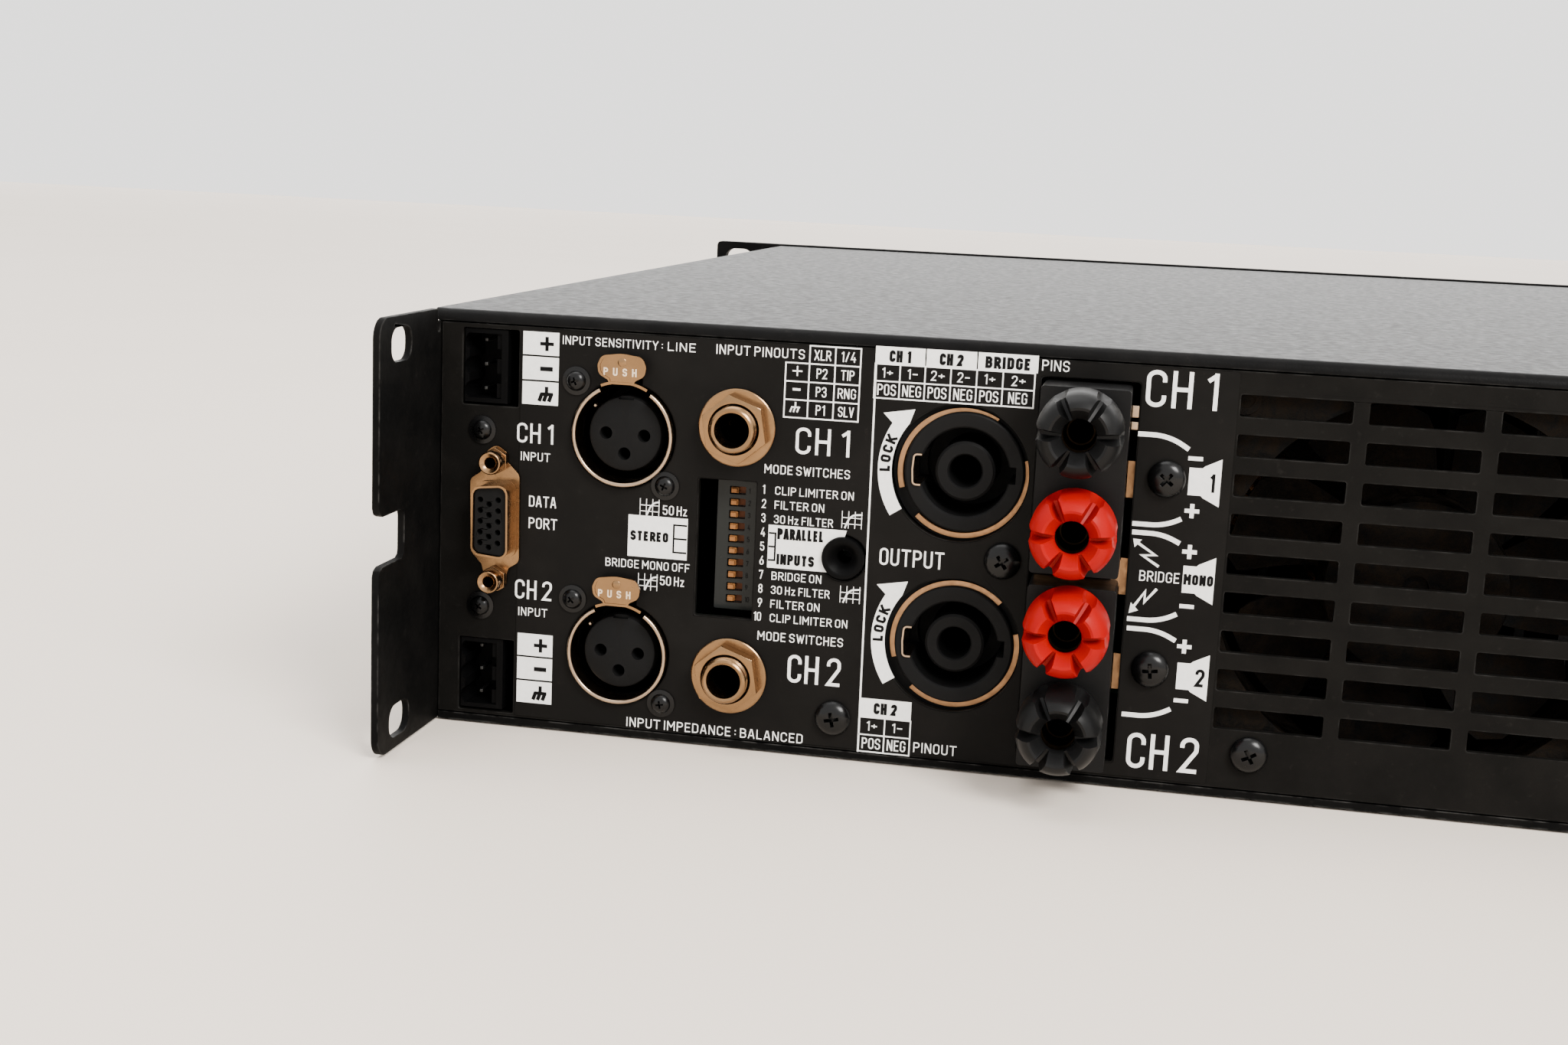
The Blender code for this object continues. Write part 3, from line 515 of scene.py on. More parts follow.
# Painted shade: brass darkened for the parts down in a post cap's bore.
SHADED_BRASS = plated("brass_painted_shade", (0.016, 0.010, 0.005), 0.45)
TIN = plated("tin", (0.07, 0.07, 0.068), 0.4)
FOAM = moulded("filter_foam", (0.002, 0.002, 0.002), 0.9, 0.8, 0.3, gloss=0.02)
OXIDE = moulded("black_oxide", (0.0015, 0.0015, 0.0016), 0.24, 0.05, 0.0, gloss=0.22)
PLASTIC = moulded("black_moulding", (0.0016, 0.0016, 0.0017), 0.42, 0.12, 0.05, gloss=0.04)
# Painted shade: a black for bores, gaps and recesses where shade falls.
SHADE_BLACK = moulded("painted_shade_black", (0.0008, 0.0008, 0.0008), 0.7, 0.05, 0.0, gloss=0.01)
BOSS = moulded("grey_moulding", (0.0052, 0.0052, 0.0053), 0.5, 0.2, 0.05, gloss=0.06)
BLACK_CAP = moulded("black_cap", (0.0036, 0.0036, 0.0037), 0.38, 0.05, 0.05, gloss=0.11)
RED_CAP = moulded("red_cap", (0.25, 0.0003, 0.0010), 0.38, 0.05, 0.02, 0.0, (0.25, 0.006, 0.003), 0.08)
SWITCH = moulded("switch_shell", (0.011, 0.0125, 0.012), 0.22, 0.03, 0.1, gloss=0.15)
ORANGE = moulded("orange_slider", (0.23, 0.095, 0.03), 0.4, 0.1, 0.25)
RUST = moulded("brown_slider", (0.10, 0.032, 0.011), 0.45, 0.1, 0.25)
DUSTY = dusty_fan()
COPPER = wound_copper()
BOARD = solder_mask()
FIN = plated("fin_metal", (0.03, 0.03, 0.03), 0.5, 0.1)
TAPE = moulded("winding_tape", (0.1, 0.06, 0.015), 0.45, 0.1, 0.2)
LED_GREEN = moulded("led_green", (0.01, 0.08, 0.02), 0.15, 0.02, 0.02, 0.5)
LED_RED = moulded("led_red", (0.11, 0.004, 0.004), 0.15, 0.02, 0.02, 0.5)
SLOTS = {mat.name: slot for slot, mats in {
    "black_steel": (STEEL, COVER_STEEL, PANEL_STEEL, GREY),
    "label": (FILM, WHITE, BLACK_INK),
    "nickel": (NICKEL, HIGHLIGHT_NICKEL, WARM_NICKEL, BARE, TIN),
    "brass": (CONTACT, SHADED_BRASS),
    "black_plastic": (PLASTIC, SHADE_BLACK, BOSS, BLACK_CAP, FOAM, DUSTY, LED_GREEN, LED_RED),
    "red_plastic": (RED_CAP,),
    "switch_grey": (SWITCH,),
    "orange_plastic": (ORANGE,),
    "winding": (COPPER,),
}.items() for mat in mats}


# ---- stroke lettering
# Each glyph: its width, then its strokes. An R stroke has round corners, a C stroke also
# closes, and an S stroke stays sharp. A point is x,y, with its own corner radius when given.
# Capitals are 10 high.
GLYPHS = {
    "A": (3.4, "S 0,0 1.35,10 S 3.4,0 2.05,10 S 0.5,2.9 2.9,2.9"),
    "B": (3.2, "S 0,0 0,10 R 0,10 3.1,10 3.1,5.2 0,5.2 R 0,5.2 3.3,5.2 3.3,0 0,0"),
    "C": (3.2, "R 3.2,7 3.2,10 0,10 0,0 3.2,0 3.2,3"),
    "D": (3.2, "S 0,0 0,10 R 0,10 3.2,10 3.2,0 0,0"),
    "E": (2.8, "S 0,0 0,10 S 0,10 3.2,10 S 0,5.2 2.8,5.2 S 0,0 3.2,0"),
    "F": (2.8, "S 0,0 0,10 S 0,10 3.2,10 S 0,5 2.8,5"),
    "G": (3.2, "R 3.2,7.2 3.2,10 0,10 0,0 3.2,0 3.2,4.6,0 1.9,4.6"),
    "H": (3.2, "S 0,0 0,10 S 3.2,0 3.2,10 S 0,5.1 3.2,5.1"),
    "I": (0.0, "S 0,0 0,10"),
    "K": (3.3, "S 0,0 0,10 S 3.3,10 0.2,4.2 S 1.3,5.6 3.5,0"),
    "L": (2.7, "S 0,10 0,0 3.1,0"),
    "M": (4.3, "S 0,0 0,10 S 4.3,0 4.3,10 S 0.1,10 2.15,3.4 S 4.2,10 2.15,3.4"),
    "N": (3.4, "S 0,0 0,10 S 3.4,0 3.4,10 S 0.2,10 3.2,0"),
    "O": (3.2, "C 0,0 0,10 3.2,10 3.2,0"),
    "P": (3.2, "S 0,0 0,10 R 0,10 3.2,10 3.2,4.9 0,4.9"),
    "R": (3.2, "S 0,0 0,10 R 0,10 3.2,10 3.2,4.9 0,4.9 S 1.6,4.9 3.4,0"),
    "S": (3.2, "R 3.2,7.5 3.2,10 0,10 0,5.6 3.2,4.6 3.2,0 0,0 0,2.5"),
    "T": (3.4, "S -0.5,10 3.9,10 S 1.7,10 1.7,0"),
    "U": (3.2, "R 0,10 0,0 3.2,0 3.2,10"),
    "V": (3.4, "S 0,10 1.7,0 S 3.4,10 1.7,0"),
    "W": (4.8, "S 0,10 1.25,0 S 2.4,9 1.25,0 S 2.4,9 3.55,0 S 4.8,10 3.55,0"),
    "X": (3.4, "S 0,10 3.4,0 S 3.4,10 0,0"),
    "Y": (3.4, "S 0,10 1.7,4.4 S 3.4,10 1.7,4.4 S 1.7,4.8 1.7,0"),
    "z": (2.6, "S -0.3,6.8 2.7,6.8 S 2.4,6.8 0.2,0 S -0.1,0 2.9,0"),
    "0": (3.2, "C 0,0 0,10 3.2,10 3.2,0"),
    "1": (1.6, "S 0,8.2 1.6,10 S 1.6,0 1.6,10"),
    "2": (3.2, "R 0,7.3 0,10 3.2,10 3.2,6.4 0,0,0 3.5,0"),
    "3": (3.2, "R 0,7.6 0,10 3.1,10 3.1,5.2 1.1,5.2 R 1.1,5.2 3.2,5.2 3.2,0 0,0 0,2.4"),
    "4": (3.4, "S 2.1,10 0,2.6 3.9,2.6 S 2.7,5.2 2.7,0"),
    "5": (3.2, "R 3.2,10 0.2,10,0 0.1,5.7,0 3.2,6.2 3.2,0 0,0 0,2.4"),
    "6": (3.2, "C 0,0 0,5.8 3.2,5.8 3.2,0 S 0.05,3.6 2.2,10"),
    "7": (3.2, "S 0,8.6 0,10 3.2,10 1.2,0"),
    "8": (3.2, "C 0.15,5.2 0.15,10 3.05,10 3.05,5.2 C 0,0 0,5.2 3.2,5.2 3.2,0"),
    "9": (3.2, "C 0,4.2 0,10 3.2,10 3.2,4.2 S 3.15,6.4 1,0"),
    "+": (4.0, "S -0.2,5 4.2,5 S 2,2.8 2,7.2"),
    "-": (3.0, "S -0.2,5 3.2,5"),
    "/": (2.6, "S 0,-0.4 2.6,10.4"),
    ":": (0.0, "S 0,2 0,3.3 S 0,6.4 0,7.7"),
    "_": (3.0, ""),
    " ": (-0.6, ""),
}
STROKE, BOLD = 1.3, 3.5       # pen widths on a 10-high capital
LETTER_GAP = 1.2
WIDEN = 1.24


def strokes(text):
    """Kind and points of each stroke of a glyph."""
    result = []
    for word in text.split():
        if word in "RCS":
            result.append((word, []))
        else:
            result[-1][1].append([float(value) for value in word.split(",")])
    return result


def lengthen(path, extra):
    """Carry a stem's end on past the top or base line by half the pen's width."""
    ends = []
    for here, back in ((path[0], path[1]), (path[-1], path[-2])):
        a, b = here[0] - back[0], here[1] - back[1]
        grow = extra / abs(b) if abs(b) > abs(a) and min(abs(here[1]), abs(here[1] - 10.0)) < 0.01 else 0.0
        ends.append((here[0] + a * grow, here[1] + b * grow))
    return [ends[0]] + [p[:2] for p in path[1:-1]] + [ends[1]]


class Print(Piece):
    """Printed matter: letters, lines, and blocks lying on a face."""

    def __init__(self, name, at=ORIGIN, space=REAR, level=INK):
        super().__init__(name, at, space)
        self.level = level
        self.order = 0

    def stroke(self, points, width, closed=False):
        """One band of ink, each a hair higher than the one before."""
        self.order += 1
        top = self.level + 0.03 + (self.order % 12) * 0.003
        self.ribbon(points, width, self.level, top, closed)

    def bar(self, u, z, half_u, half_z, width):
        """Straight line through a point."""
        self.stroke([(u - half_u, z - half_z), (u + half_u, z + half_z)], width)

    def block(self, outline):
        self.extrude([outline], self.level, self.level + 0.028)

    def write(self, words, u, z, height, width=None, place=None, weight=STROKE):
        """Letters with their lower left corner at (u, z), squeezed to a width when given."""
        scale = height / (10.0 + weight)
        length = sum(GLYPHS[c][0] * WIDEN + weight + LETTER_GAP for c in words) - LETTER_GAP
        squeeze = width / (length * scale) if width else 1.0
        place = place or (lambda a, b: (u + a, z + b))
        pen = 0.0
        for letter in words:
            glyph_width, text = GLYPHS[letter]
            for kind, points in strokes(text):
                path = [(p[0] * WIDEN, *p[1:]) for p in points]
                if kind in "RC":
                    path = smooth_path(path, 2.0, kind == "C")
                if kind != "C":
                    path = lengthen(path, weight / 2.0)
                placed = [place((pen + weight / 2.0 + p[0]) * scale * squeeze,
                                (weight / 2.0 + p[1]) * scale) for p in path]
                self.stroke(placed, weight * scale * min(1.0, (1.0 + squeeze) / 2.0), kind == "C")
            pen += glyph_width * WIDEN + weight + LETTER_GAP

    def centred(self, words, u, z, height, width, weight=STROKE):
        """Words of a given width centred on (u, z)."""
        self.write(words, u - width / 2.0, z - height / 2.0, height, width, weight=weight)

    def grid(self, columns, rows, width=0.28):
        """Ruled lines at the given column and row positions."""
        half = width / 2.0
        for u in columns:
            self.stroke([(u, rows[0] - half), (u, rows[-1] + half)], width)
        for z in rows:
            self.stroke([(columns[0] - half, z), (columns[-1] + half, z)], width)

    def earth(self, u, z, scale, weight):
        """Slanted three-legged earth symbol, its bar at height z."""
        self.stroke([(u, z + 1.55 * scale), (u, z)], weight)
        self.stroke([(u - 1.15 * scale, z), (u + 1.4 * scale, z)], weight)
        for foot in (-0.95, 0.05, 1.12):
            top = u + foot * scale
            self.stroke([(top, z + 0.2 * scale), (top - 0.6 * scale, z - 1.5 * scale)], weight * 1.1)

    def filter_icon(self, left, low, knee):
        """Small graph: four uprights, two levels, and a curve that rises to a flat."""
        for k in range(4):
            self.stroke([(left + 1.33 * k, low), (left + 1.33 * k, low + 3.5)], 0.15)
        for level in (0.9, 2.15):
            self.stroke([(left, low + level), (left + 4.1, low + level)], 0.15)
        curve = [(left + knee, low), (left + knee + 0.8, low + 1.9), (left + knee + 1.6, low + 2.75),
                 (left + 4.1, low + 2.95)]
        self.stroke(smooth_path(curve, 1.5), 0.34)


# ---- sheet metal
def sides():
    end, mid, corner = REAR_Y + EAR_END, CHASSIS_H / 2.0, 4.0
    wall_top = CHASSIS_H - COVER - 0.3
    notch = ((0.0, -6.8), (-0.6, -5.6), (-2.0, -5.0), (-11.6, -5.0), (-12.7, -4.4), (-13.0, -3.4))
    points = [(FRONT_BACK, 0.0)] + arc(corner, -90.0, 0.0, 8, (end - corner, corner))
    points += [(end + dy, mid + dz) for dy, dz in notch]
    points += [(end + dy, mid - dz) for dy, dz in reversed(notch)]
    points += arc(corner, 0.0, 90.0, 8, (end - corner, CHASSIS_H - corner))
    points += [(REAR_Y + 1.6, CHASSIS_H), (REAR_Y + 1.6, PANEL_TOP - 2.0), (REAR_Y + 0.5, PANEL_TOP - 2.0),
               (REAR_Y + 0.5, PANEL_TOP), (REAR_Y - 2.6, PANEL_TOP), (REAR_Y - 2.6, wall_top),
               (FRONT_BACK, wall_top)]
    slots = [pane(*RACK_SLOT, 2.9, 6, (REAR_Y + 21.0, mid + dz)) for dz in (-RACK_SLOT_Z, RACK_SLOT_Z)]
    for name, low in (("side_left", HALF_W - SHEET), ("side_right", -HALF_W)):
        wall = Piece(name + "_wall", space=SIDE)
        wall.extrude([points] + slots, low, low + SHEET)
        wall.done(STEEL, name, bevel=0.35)


def xlr_hole(centre, grow):
    """Round hole with a flat-topped notch above it for the latch."""
    u, z = centre
    radius, half, top = 11.0 + grow, 3.6 + grow, z + 13.8 + grow
    start = math.degrees(math.acos(half / radius))
    return arc(radius, 180.0 - start, 360.0 + start, 48, centre) + [(u + half, top), (u - half, top)]


def connector_holes(grow):
    """Holes that the panel and its printed label share, opened out by grow."""
    holes = [xlr_hole(centre, grow) for centre in XLR_CENTRES]
    holes += [circle(5.2 + grow, 48, centre) for centre in JACK_CENTRES]
    holes.append(rounded(DIP_U[0] - grow, DIP_U[1] + grow, DIP_Z[0] - grow, DIP_Z[1] + grow, 0.3, 3))
    holes.append(circle(4.75 + grow, 32, POST))
    holes += [circle(13.75 + grow, 72, centre) for centre in SOCKET_HOLES]
    holes.append(rounded(125.3 - grow, 144.5 + grow, 4.9 - grow, 81.3 + grow, 0.8))
    return holes


def rear_panel():
    outlines = [rect(1.8, CHASSIS_W - 1.8, 1.8, PANEL_TOP)]
    outlines += [rounded(6.4, 18.5, z - 8.1, z + 7.8, 0.3, 2) for z in HEADER_Z]
    outlines.append(pane(4.4, 7.7, 2.0, 5, (DATA_U, DATA_Z)))
    outlines += [circle(1.9, 16, (DATA_U, DATA_Z + side * DATA_JACKS)) for side in (-1, 1)]
    outlines += connector_holes(0.0)
    for column in range(6):
        u = VENT_U + column * VENT_PITCH[0]
        for row in range(9):
            top = VENT_TOP - row * VENT_PITCH[1]
            outlines.append(rounded(u, u + VENT_SIZE[0], top - VENT_SIZE[1], top, 0.35, 2))
    outlines.append(pane(14.0, 10.2, 0.5, 2, INLET))
    panel = Piece("rear_sheet")
    panel.extrude(outlines, -SHEET, 0.0)
    panel.done(PANEL_STEEL, "rear_panel", bevel=0.12)
    film = Piece("rear_film")
    film.extrude([rounded(19.0, 163.0, 2.3, 84.5, 0.6)] + connector_holes(0.25), 0.05, INK)
    film.done(FILM, "rear_label", bevel=0.04, segments=1)


def cover():
    """Top cover with its rear edge folded down over a radius."""
    radius, inner, lip = 2.2, 1.0, 85.1
    bend = (REAR_Y - radius, CHASSIS_H - radius)
    points = [(FRONT_BACK, CHASSIS_H - COVER)] + arc(inner, 90.0, 0.0, 8, bend)
    points += [(REAR_Y - COVER, lip), (REAR_Y, lip)] + arc(radius, 0.0, 90.0, 12, bend)
    points.append((FRONT_BACK, CHASSIS_H))
    lid = Piece("cover_sheet", space=SIDE)
    lid.extrude([points], -HALF_W, HALF_W)
    lid.done(COVER_STEEL, "top_cover", bevel=0.45, segments=3)


# ---- screws
def cross_cutter(size, depth, top):
    """Two tapered bars that sink the cross recess of a screw head."""
    bars = []
    for turn in (0.0, 90.0):
        bar = Piece("bar")
        spin = Matrix.Rotation(math.radians(turn), 4, "Z")
        rows = []
        for height, reach, half in ((top + 1.0, size, size * 0.21), (top - depth, size * 0.4, size * 0.12)):
            corners = rect(-reach, reach, -half, half)
            rows.append([bar.vert(*(spin @ Vector((x, y, height)))) for x, y in corners])
        bar.skin(rows)
        bars.append(bar)
    return bars


def screw_mesh(head, height, flange=0.0):
    """Pan-head screw with a cross recess, on a thin flange when given, at the origin."""
    dome = [(0.0, height)]
    for angle in (18, 36, 54, 72):
        rise, radius = polar(1.0, angle)
        dome.append((head * 0.8 * radius, height * (0.62 + 0.38 * rise)))
    dome += [(head * 0.93, height * 0.52), (head, height * 0.3)]
    dome += [(flange, height * 0.22), (flange, 0.0)] if flange else [(head * 0.97, 0.0)]
    body = Piece("screw")
    body.lathe(dome + [(0.0, 0.0)], 32)
    body.cut(cross_cutter(head * 0.55, height * 0.8, height))
    return baked(body.as_object(Matrix.Identity(4)))


def rear_screws():
    meshes = {"small": screw_mesh(2.1, 1.6, 2.95), "large": screw_mesh(3.7, 2.2)}
    spots = (("small", 31.0, 74.4, 20), ("small", 50.4, 54.0, 65), ("small", 31.3, 28.7, 40),
             ("small", 51.0, 8.0, 10), ("small", 10.9, 62.9, 30), ("small", 11.0, 25.5, 55),
             ("large", 87.4, 8.5, 12), ("large", 120.0, 44.1, 35), ("large", 150.7, 63.0, 50),
             ("large", 150.4, 24.8, 5), ("large", 170.8, 9.2, 28), ("large", 300.0, 9.2, 61),
             ("large", 345.0, 76.0, 15), ("large", 425.0, 76.0, 80), ("large", 425.0, 10.0, 33))
    for index, (kind, u, z, spin) in enumerate(spots, 1):
        out = INK + 0.02 if 20.0 < u < 163.0 else 0.02
        mesh = meshes[kind].copy()
        mesh.transform(Matrix.Translation((u, z, out)) @ Matrix.Rotation(math.radians(spin), 4, "Z"))
        head = Piece(f"rear_screw_{index:02d}")
        head.add_mesh(mesh)
        head.done(OXIDE, bevel=0.1)


# ---- inputs
def terminal_header(index, z):
    """Open header: scalloped left wall, keyed right wall, and three pins."""
    rows = [i * HEADER_PITCH for i in (1, 0, -1)]
    cavity = [(14.6, -6.7), (14.6, 6.7), (7.9, 6.7)]
    for row in rows:
        cavity += arc(1.9, 118.0, 242.0, 8, (8.55, row))
    cavity.append((7.9, -6.7))
    body = Piece(f"header_{index}_body", (0.0, z))
    body.extrude([rect(6.7, 16.0, -7.6, 7.6), cavity], -10.0, -0.4)
    body.box((6.7, 16.0), (-7.6, 7.6), (-13.0, -9.99))
    for row in rows:
        body.box((13.5, 14.8), (row - 1.5, row + 1.5), (-9.9, -0.9))
    # Painted shade: a black plate behind the body fills the gap beside it in the panel hole.
    body.box((16.2, 18.4), (-7.9, 7.6), (-12.0, -9.0), 1)
    body.done((PLASTIC, SHADE_BLACK), f"terminal_header_{index}", bevel=0.15)
    pins = Piece(f"header_{index}_pins", (0.0, z))
    for row in rows:
        pins.box((9.5, 10.3), (row - 0.4, row + 0.4), (-10.2, -4.2))
    pins.done(TIN, bevel=0.22)


def data_port():
    flange = [(8.7, 52.6), (10.8, 54.0, 0.6), (12.0, 55.6, 0.4), (12.0, 58.4), (14.3, 60.2), (16.8, 58.4),
              (16.8, 56.6, 0.4), (19.4, 54.0), (19.6, 35.6), (17.4, 34.2, 0.6), (16.9, 32.6, 0.4),
              (16.9, 30.2), (14.5, 28.8), (12.0, 30.2), (12.0, 32.4, 0.4), (11.4, 34.6, 0.6), (9.0, 37.2)]
    outer = smooth_path(flange, 1.6, True, 4)
    throat = smooth_path([(11.1, 51.35), (18.1, 52.1), (18.3, 37.25), (11.1, 37.9)], 1.6, True)
    shroud = smooth_path([(10.8, 51.6), (18.4, 52.4), (18.6, 37.0), (10.8, 37.6)], 1.8, True)
    skirt = smooth_path([(10.2, 52.2), (18.9, 53.1), (19.1, 36.3), (10.2, 37.0)], 2.1, True)
    rim = smooth_path([(10.7, 51.75), (18.5, 52.55), (18.7, 36.85), (10.7, 37.45)], 1.9, True)
    ends = [(DATA_U, DATA_Z + side * DATA_JACKS) for side in (-1, 1)]
    shell = Piece("data_shell")
    shell.extrude([outer, throat] + [circle(2.0, 20, end) for end in ends], 0.25, 1.05)
    shell.extrude([skirt, throat], 1.0, 1.7)
    shell.extrude([shroud, throat], 1.6, 5.5)
    shell.extrude([rim, throat], 5.4, 5.9)
    shell.done(WARM_NICKEL, "data_port_shell", bevel=0.22, segments=3)
    face = smooth_path([(11.14, 51.3), (18.06, 52.05), (18.26, 37.3), (11.14, 37.95)], 1.55, True)
    holes = [circle(0.6, 12, (u, middle + 2.27 * k))
             for u, middle in ((12.35, 44.5), (14.25, 43.6), (16.2, 44.6)) for k in range(-2, 3)]
    insert = Piece("data_insert")
    insert.extrude([face] + holes, 1.6, 5.0)
    insert.extrude([face], -8.0, 1.65)
    insert.done(BOSS, "data_port_insert", bevel=0.08, segments=1)
    for index, end in enumerate(reversed(ends), 1):
        post = Piece(f"data_jackscrew_{index}", end)
        post.extrude([arc(2.85, 30.0, 330.0, 5), circle(1.25, 20)], 1.1, 2.4)
        post.lathe([(1.1, 2.35), (2.3, 2.35), (2.42, 2.6), (2.45, 5.1), (2.35, 5.6), (2.15, 5.8),
                    (1.95, 5.75), (1.2, 5.2), (1.1, 4.9)], 40)
        # Painted shade: a black disc at the bottom of the bore.
        post.lathe([(0.0, 0.9), (1.3, 0.9), (1.3, 1.4), (0.0, 1.4)], 16, mat=1)
        post.done((WARM_NICKEL, SHADE_BLACK), f"jackscrew_{index}", bevel=0.12)


def xlr(index, at):
    ring = Piece(f"xlr_{index}_ring", at)
    ring.lathe(arc(0.45, 0.0, 180.0, 9, (10.25, 1.3)) + [(9.8, -3.9), (10.7, -3.9)], 120, 118.0, 416.0)
    # Painted shade: the flange and the body behind the panel are black, so the gap round the ring reads as
    # shade.
    ring.lathe([(9.9, -4.0), (12.4, -4.0), (12.4, -1.8), (10.75, -1.8), (10.75, -3.2), (10.6, -3.95)],
               96, mat=1)
    ring.lathe([(9.65, -20.0), (10.6, -20.0), (10.6, -3.95), (9.65, -3.95)], 96, mat=1)
    ring.done((NICKEL, SHADE_BLACK), f"xlr_shell_{index}")
    recess = Piece("recess", at)
    recess.box((-1.6, 1.6), (7.1, 9.0), (-2.2, 2.0))
    holes = []
    for centre in ((4.0, -0.15), (-4.1, 0.0), (-0.1, -4.1)):
        hole = Piece("hole", at)
        hole.lathe([(0.0, 2.0), (1.6, 2.0), (1.3, -1.4), (1.3, -14.0), (0.0, -14.0)], 32, centre=centre)
        holes.append(hole)
    insert = Piece(f"xlr_{index}_insert", at)
    insert.lathe([(0.0, -1.1), (7.2, -1.1), (7.55, -1.25), (7.75, -1.7), (7.75, -16.0), (9.3, -16.0),
                  (9.3, -19.0), (0.0, -19.0)], 72)
    insert.cut(holes + [recess])
    insert.done(BOSS, f"xlr_insert_{index}", bevel=0.12)
    pip = Piece(f"xlr_{index}_ground_pip", at)
    pip.lathe([(0.0, -0.3), (0.25, -0.35), (0.42, -0.7), (0.42, -3.9), (0.0, -3.9)], 16, centre=(-6.3, 5.6))
    pip.done(NICKEL)
    edge = [(-4.85, 12.5, 1.6), (-5.1, 14.4, 1.5), (-4.3, 16.3, 1.6)]
    neck = [(2.8, 11.4, 0.8), (2.6, 10.6, 0.2)]
    plate = edge + [(0.0, 16.9, 9.0)] + [(-a, b, r) for a, b, r in reversed(edge)]
    plate += neck + [(-a, b, r) for a, b, r in reversed(neck)]
    u, z = at
    outline = smooth_path([(u + a, z + b, r) for a, b, r in plate], 1.5, True, 6)
    field = [(u + (a - u) * 0.9, z + 13.9 + (b - z - 13.9) * 0.86) for a, b in outline]
    tab = Piece(f"xlr_{index}_push_tab")
    tab.extrude([outline], 2.25, 2.75)
    tab.extrude([outline, field], 2.7, 2.95)
    tab.box((u - 2.5, u + 2.5), (z + 11.7, z + 12.7), (-1.1, 2.4))
    tab.lathe([(0.0, 2.95), (0.7, 2.93), (0.9, 2.8), (0.9, 2.6), (0.0, 2.6)], 24, centre=(u, z + 15.1))
    for start, end in ((101.0, 113.0), (61.0, 80.0)):
        tab.lathe([(10.75, 2.3), (11.3, 2.3), (11.3, 2.8), (10.75, 2.8)], 16, start, end, centre=at)
    tab.done(WARM_NICKEL, f"xlr_latch_{index}", f"latch_{index}", bevel=0.1, segments=3)
    # The raised letters are a brighter nickel than the tab: painted highlight.
    mark = Print(f"xlr_{index}_push_mark", at, level=2.74)
    for k, letter in enumerate("PUSH"):
        mark.write(letter, -3.9 + k * 2.0, 12.3, 1.6, 1.05, weight=2.4)
    mark.done(HIGHLIGHT_NICKEL, body=f"latch_{index}")


def jack(index, at):
    turned = [(3.45, 5.2), (3.6, 5.75), (4.1, 5.95), (4.5, 5.75)]
    for k in range(5):
        turned += [(4.72, 5.4 - k * 0.42), (4.5, 5.2 - k * 0.42)]
    turned += [(4.72, 3.2), (4.72, -1.8), (7.8, -1.8), (7.8, -30.0), (3.45, -30.0)]
    body = Piece(f"jack_{index}_bushing", at)
    body.lathe(turned, 64)
    # Painted shade: the bore is lined with black.
    body.lathe([(3.25, 1.2), (3.44, 1.2), (3.44, -24.0), (3.25, -24.0)], 48, mat=1)
    body.done((WARM_NICKEL, SHADE_BLACK), f"jack_body_{index}")
    spring = Piece(f"jack_{index}_contact", at)
    spring.tube([(-3.0, 0.0, -6.0), (-2.2, 0.0, -8.5), (-1.9, 0.0, -11.0), (-3.0, 0.0, -14.0)], 0.5, 8)
    spring.done(CONTACT)
    chamfer = Piece("chamfer", at)
    chamfer.lathe([(0.0, 4.3), (6.1, 4.3), (8.2, 3.2), (8.2, 0.9), (0.0, 0.9)], 64)
    bore = Piece("bore", at)
    bore.lathe([(0.0, 5.0), (5.6, 5.0), (4.95, 3.3), (4.95, 0.0), (0.0, 0.0)], 48)
    nut = Piece(f"jack_{index}_nut", at)
    nut.extrude([arc(7.05, 40.0, 340.0, 5)], 1.2, 4.0)
    nut.cut([chamfer], "INTERSECT")
    nut.cut([bore])
    nut.lathe([(5.1, 0.42), (7.7, 0.42), (7.95, 0.6), (7.95, 0.95), (7.7, 1.15), (5.1, 1.15)], 64)
    nut.done(WARM_NICKEL, f"jack_nut_{index}", bevel=0.1)


def mode_switch():
    low, high = DIP_Z[0] + 0.6, DIP_Z[1] - 0.6
    rows = [sum(DIP_Z) / 2.0 + (4.5 - i) * DIP_PITCH for i in range(10)]
    wells = [rounded(62.7, 66.1, z - 0.85, z + 0.85, 0.15, 2) for z in rows]
    body = Piece("mode_switch_shell")
    body.extrude([rounded(60.2, 68.6, low, high, 0.25, 2)] + wells, DIP_FACE - 1.6, DIP_FACE)
    body.extrude([rounded(60.2, 68.6, low, high, 0.25, 2)], DIP_FACE - 5.0, DIP_FACE - 1.59)
    for z in rows:
        body.box((62.85, 66.0), (z - 0.75, z + 0.75), (DIP_FACE - 1.65, DIP_FACE - 1.45), 1)
    body.merge_flat()
    body.done((SWITCH, RUST), "mode_switch_body", bevel=0.03, segments=1)
    marks = Print("mode_switch_numbers", level=DIP_FACE + 0.02)
    for index, z in enumerate(rows, 1):
        nub = Piece(f"mode_nub_{index:02d}", (0.0, z))
        nub.box((62.95, 64.5), (-0.6, 0.6), (DIP_FACE - 1.4, DIP_FACE - 0.1))
        nub.box((63.1, 64.35), (-0.45, 0.45), (DIP_FACE - 0.3, DIP_FACE + 0.7))
        nub.done(ORANGE, f"mode_slider_{index:02d}", f"slider_{index:02d}", bevel=0.12)
        marks.write(str(index), 66.7, z - 0.55, 1.1)
    marks.done(BLACK_INK, slot="switch_grey")


def threaded_post():
    thread = [p for k in range(12) for p in ((1.5, -0.9 - k * 0.7), (1.75, -1.25 - k * 0.7))]
    ring = Piece("threaded_boss", POST)
    ring.lathe([(4.35, 0.9), (4.2, 1.15), (3.6, 1.25), (3.1, 1.05), (1.65, -0.5)] + thread +
               [(1.75, -9.5), (4.4, -9.5), (4.4, 0.6)], 56)
    ring.done(PLASTIC, "threaded_post")


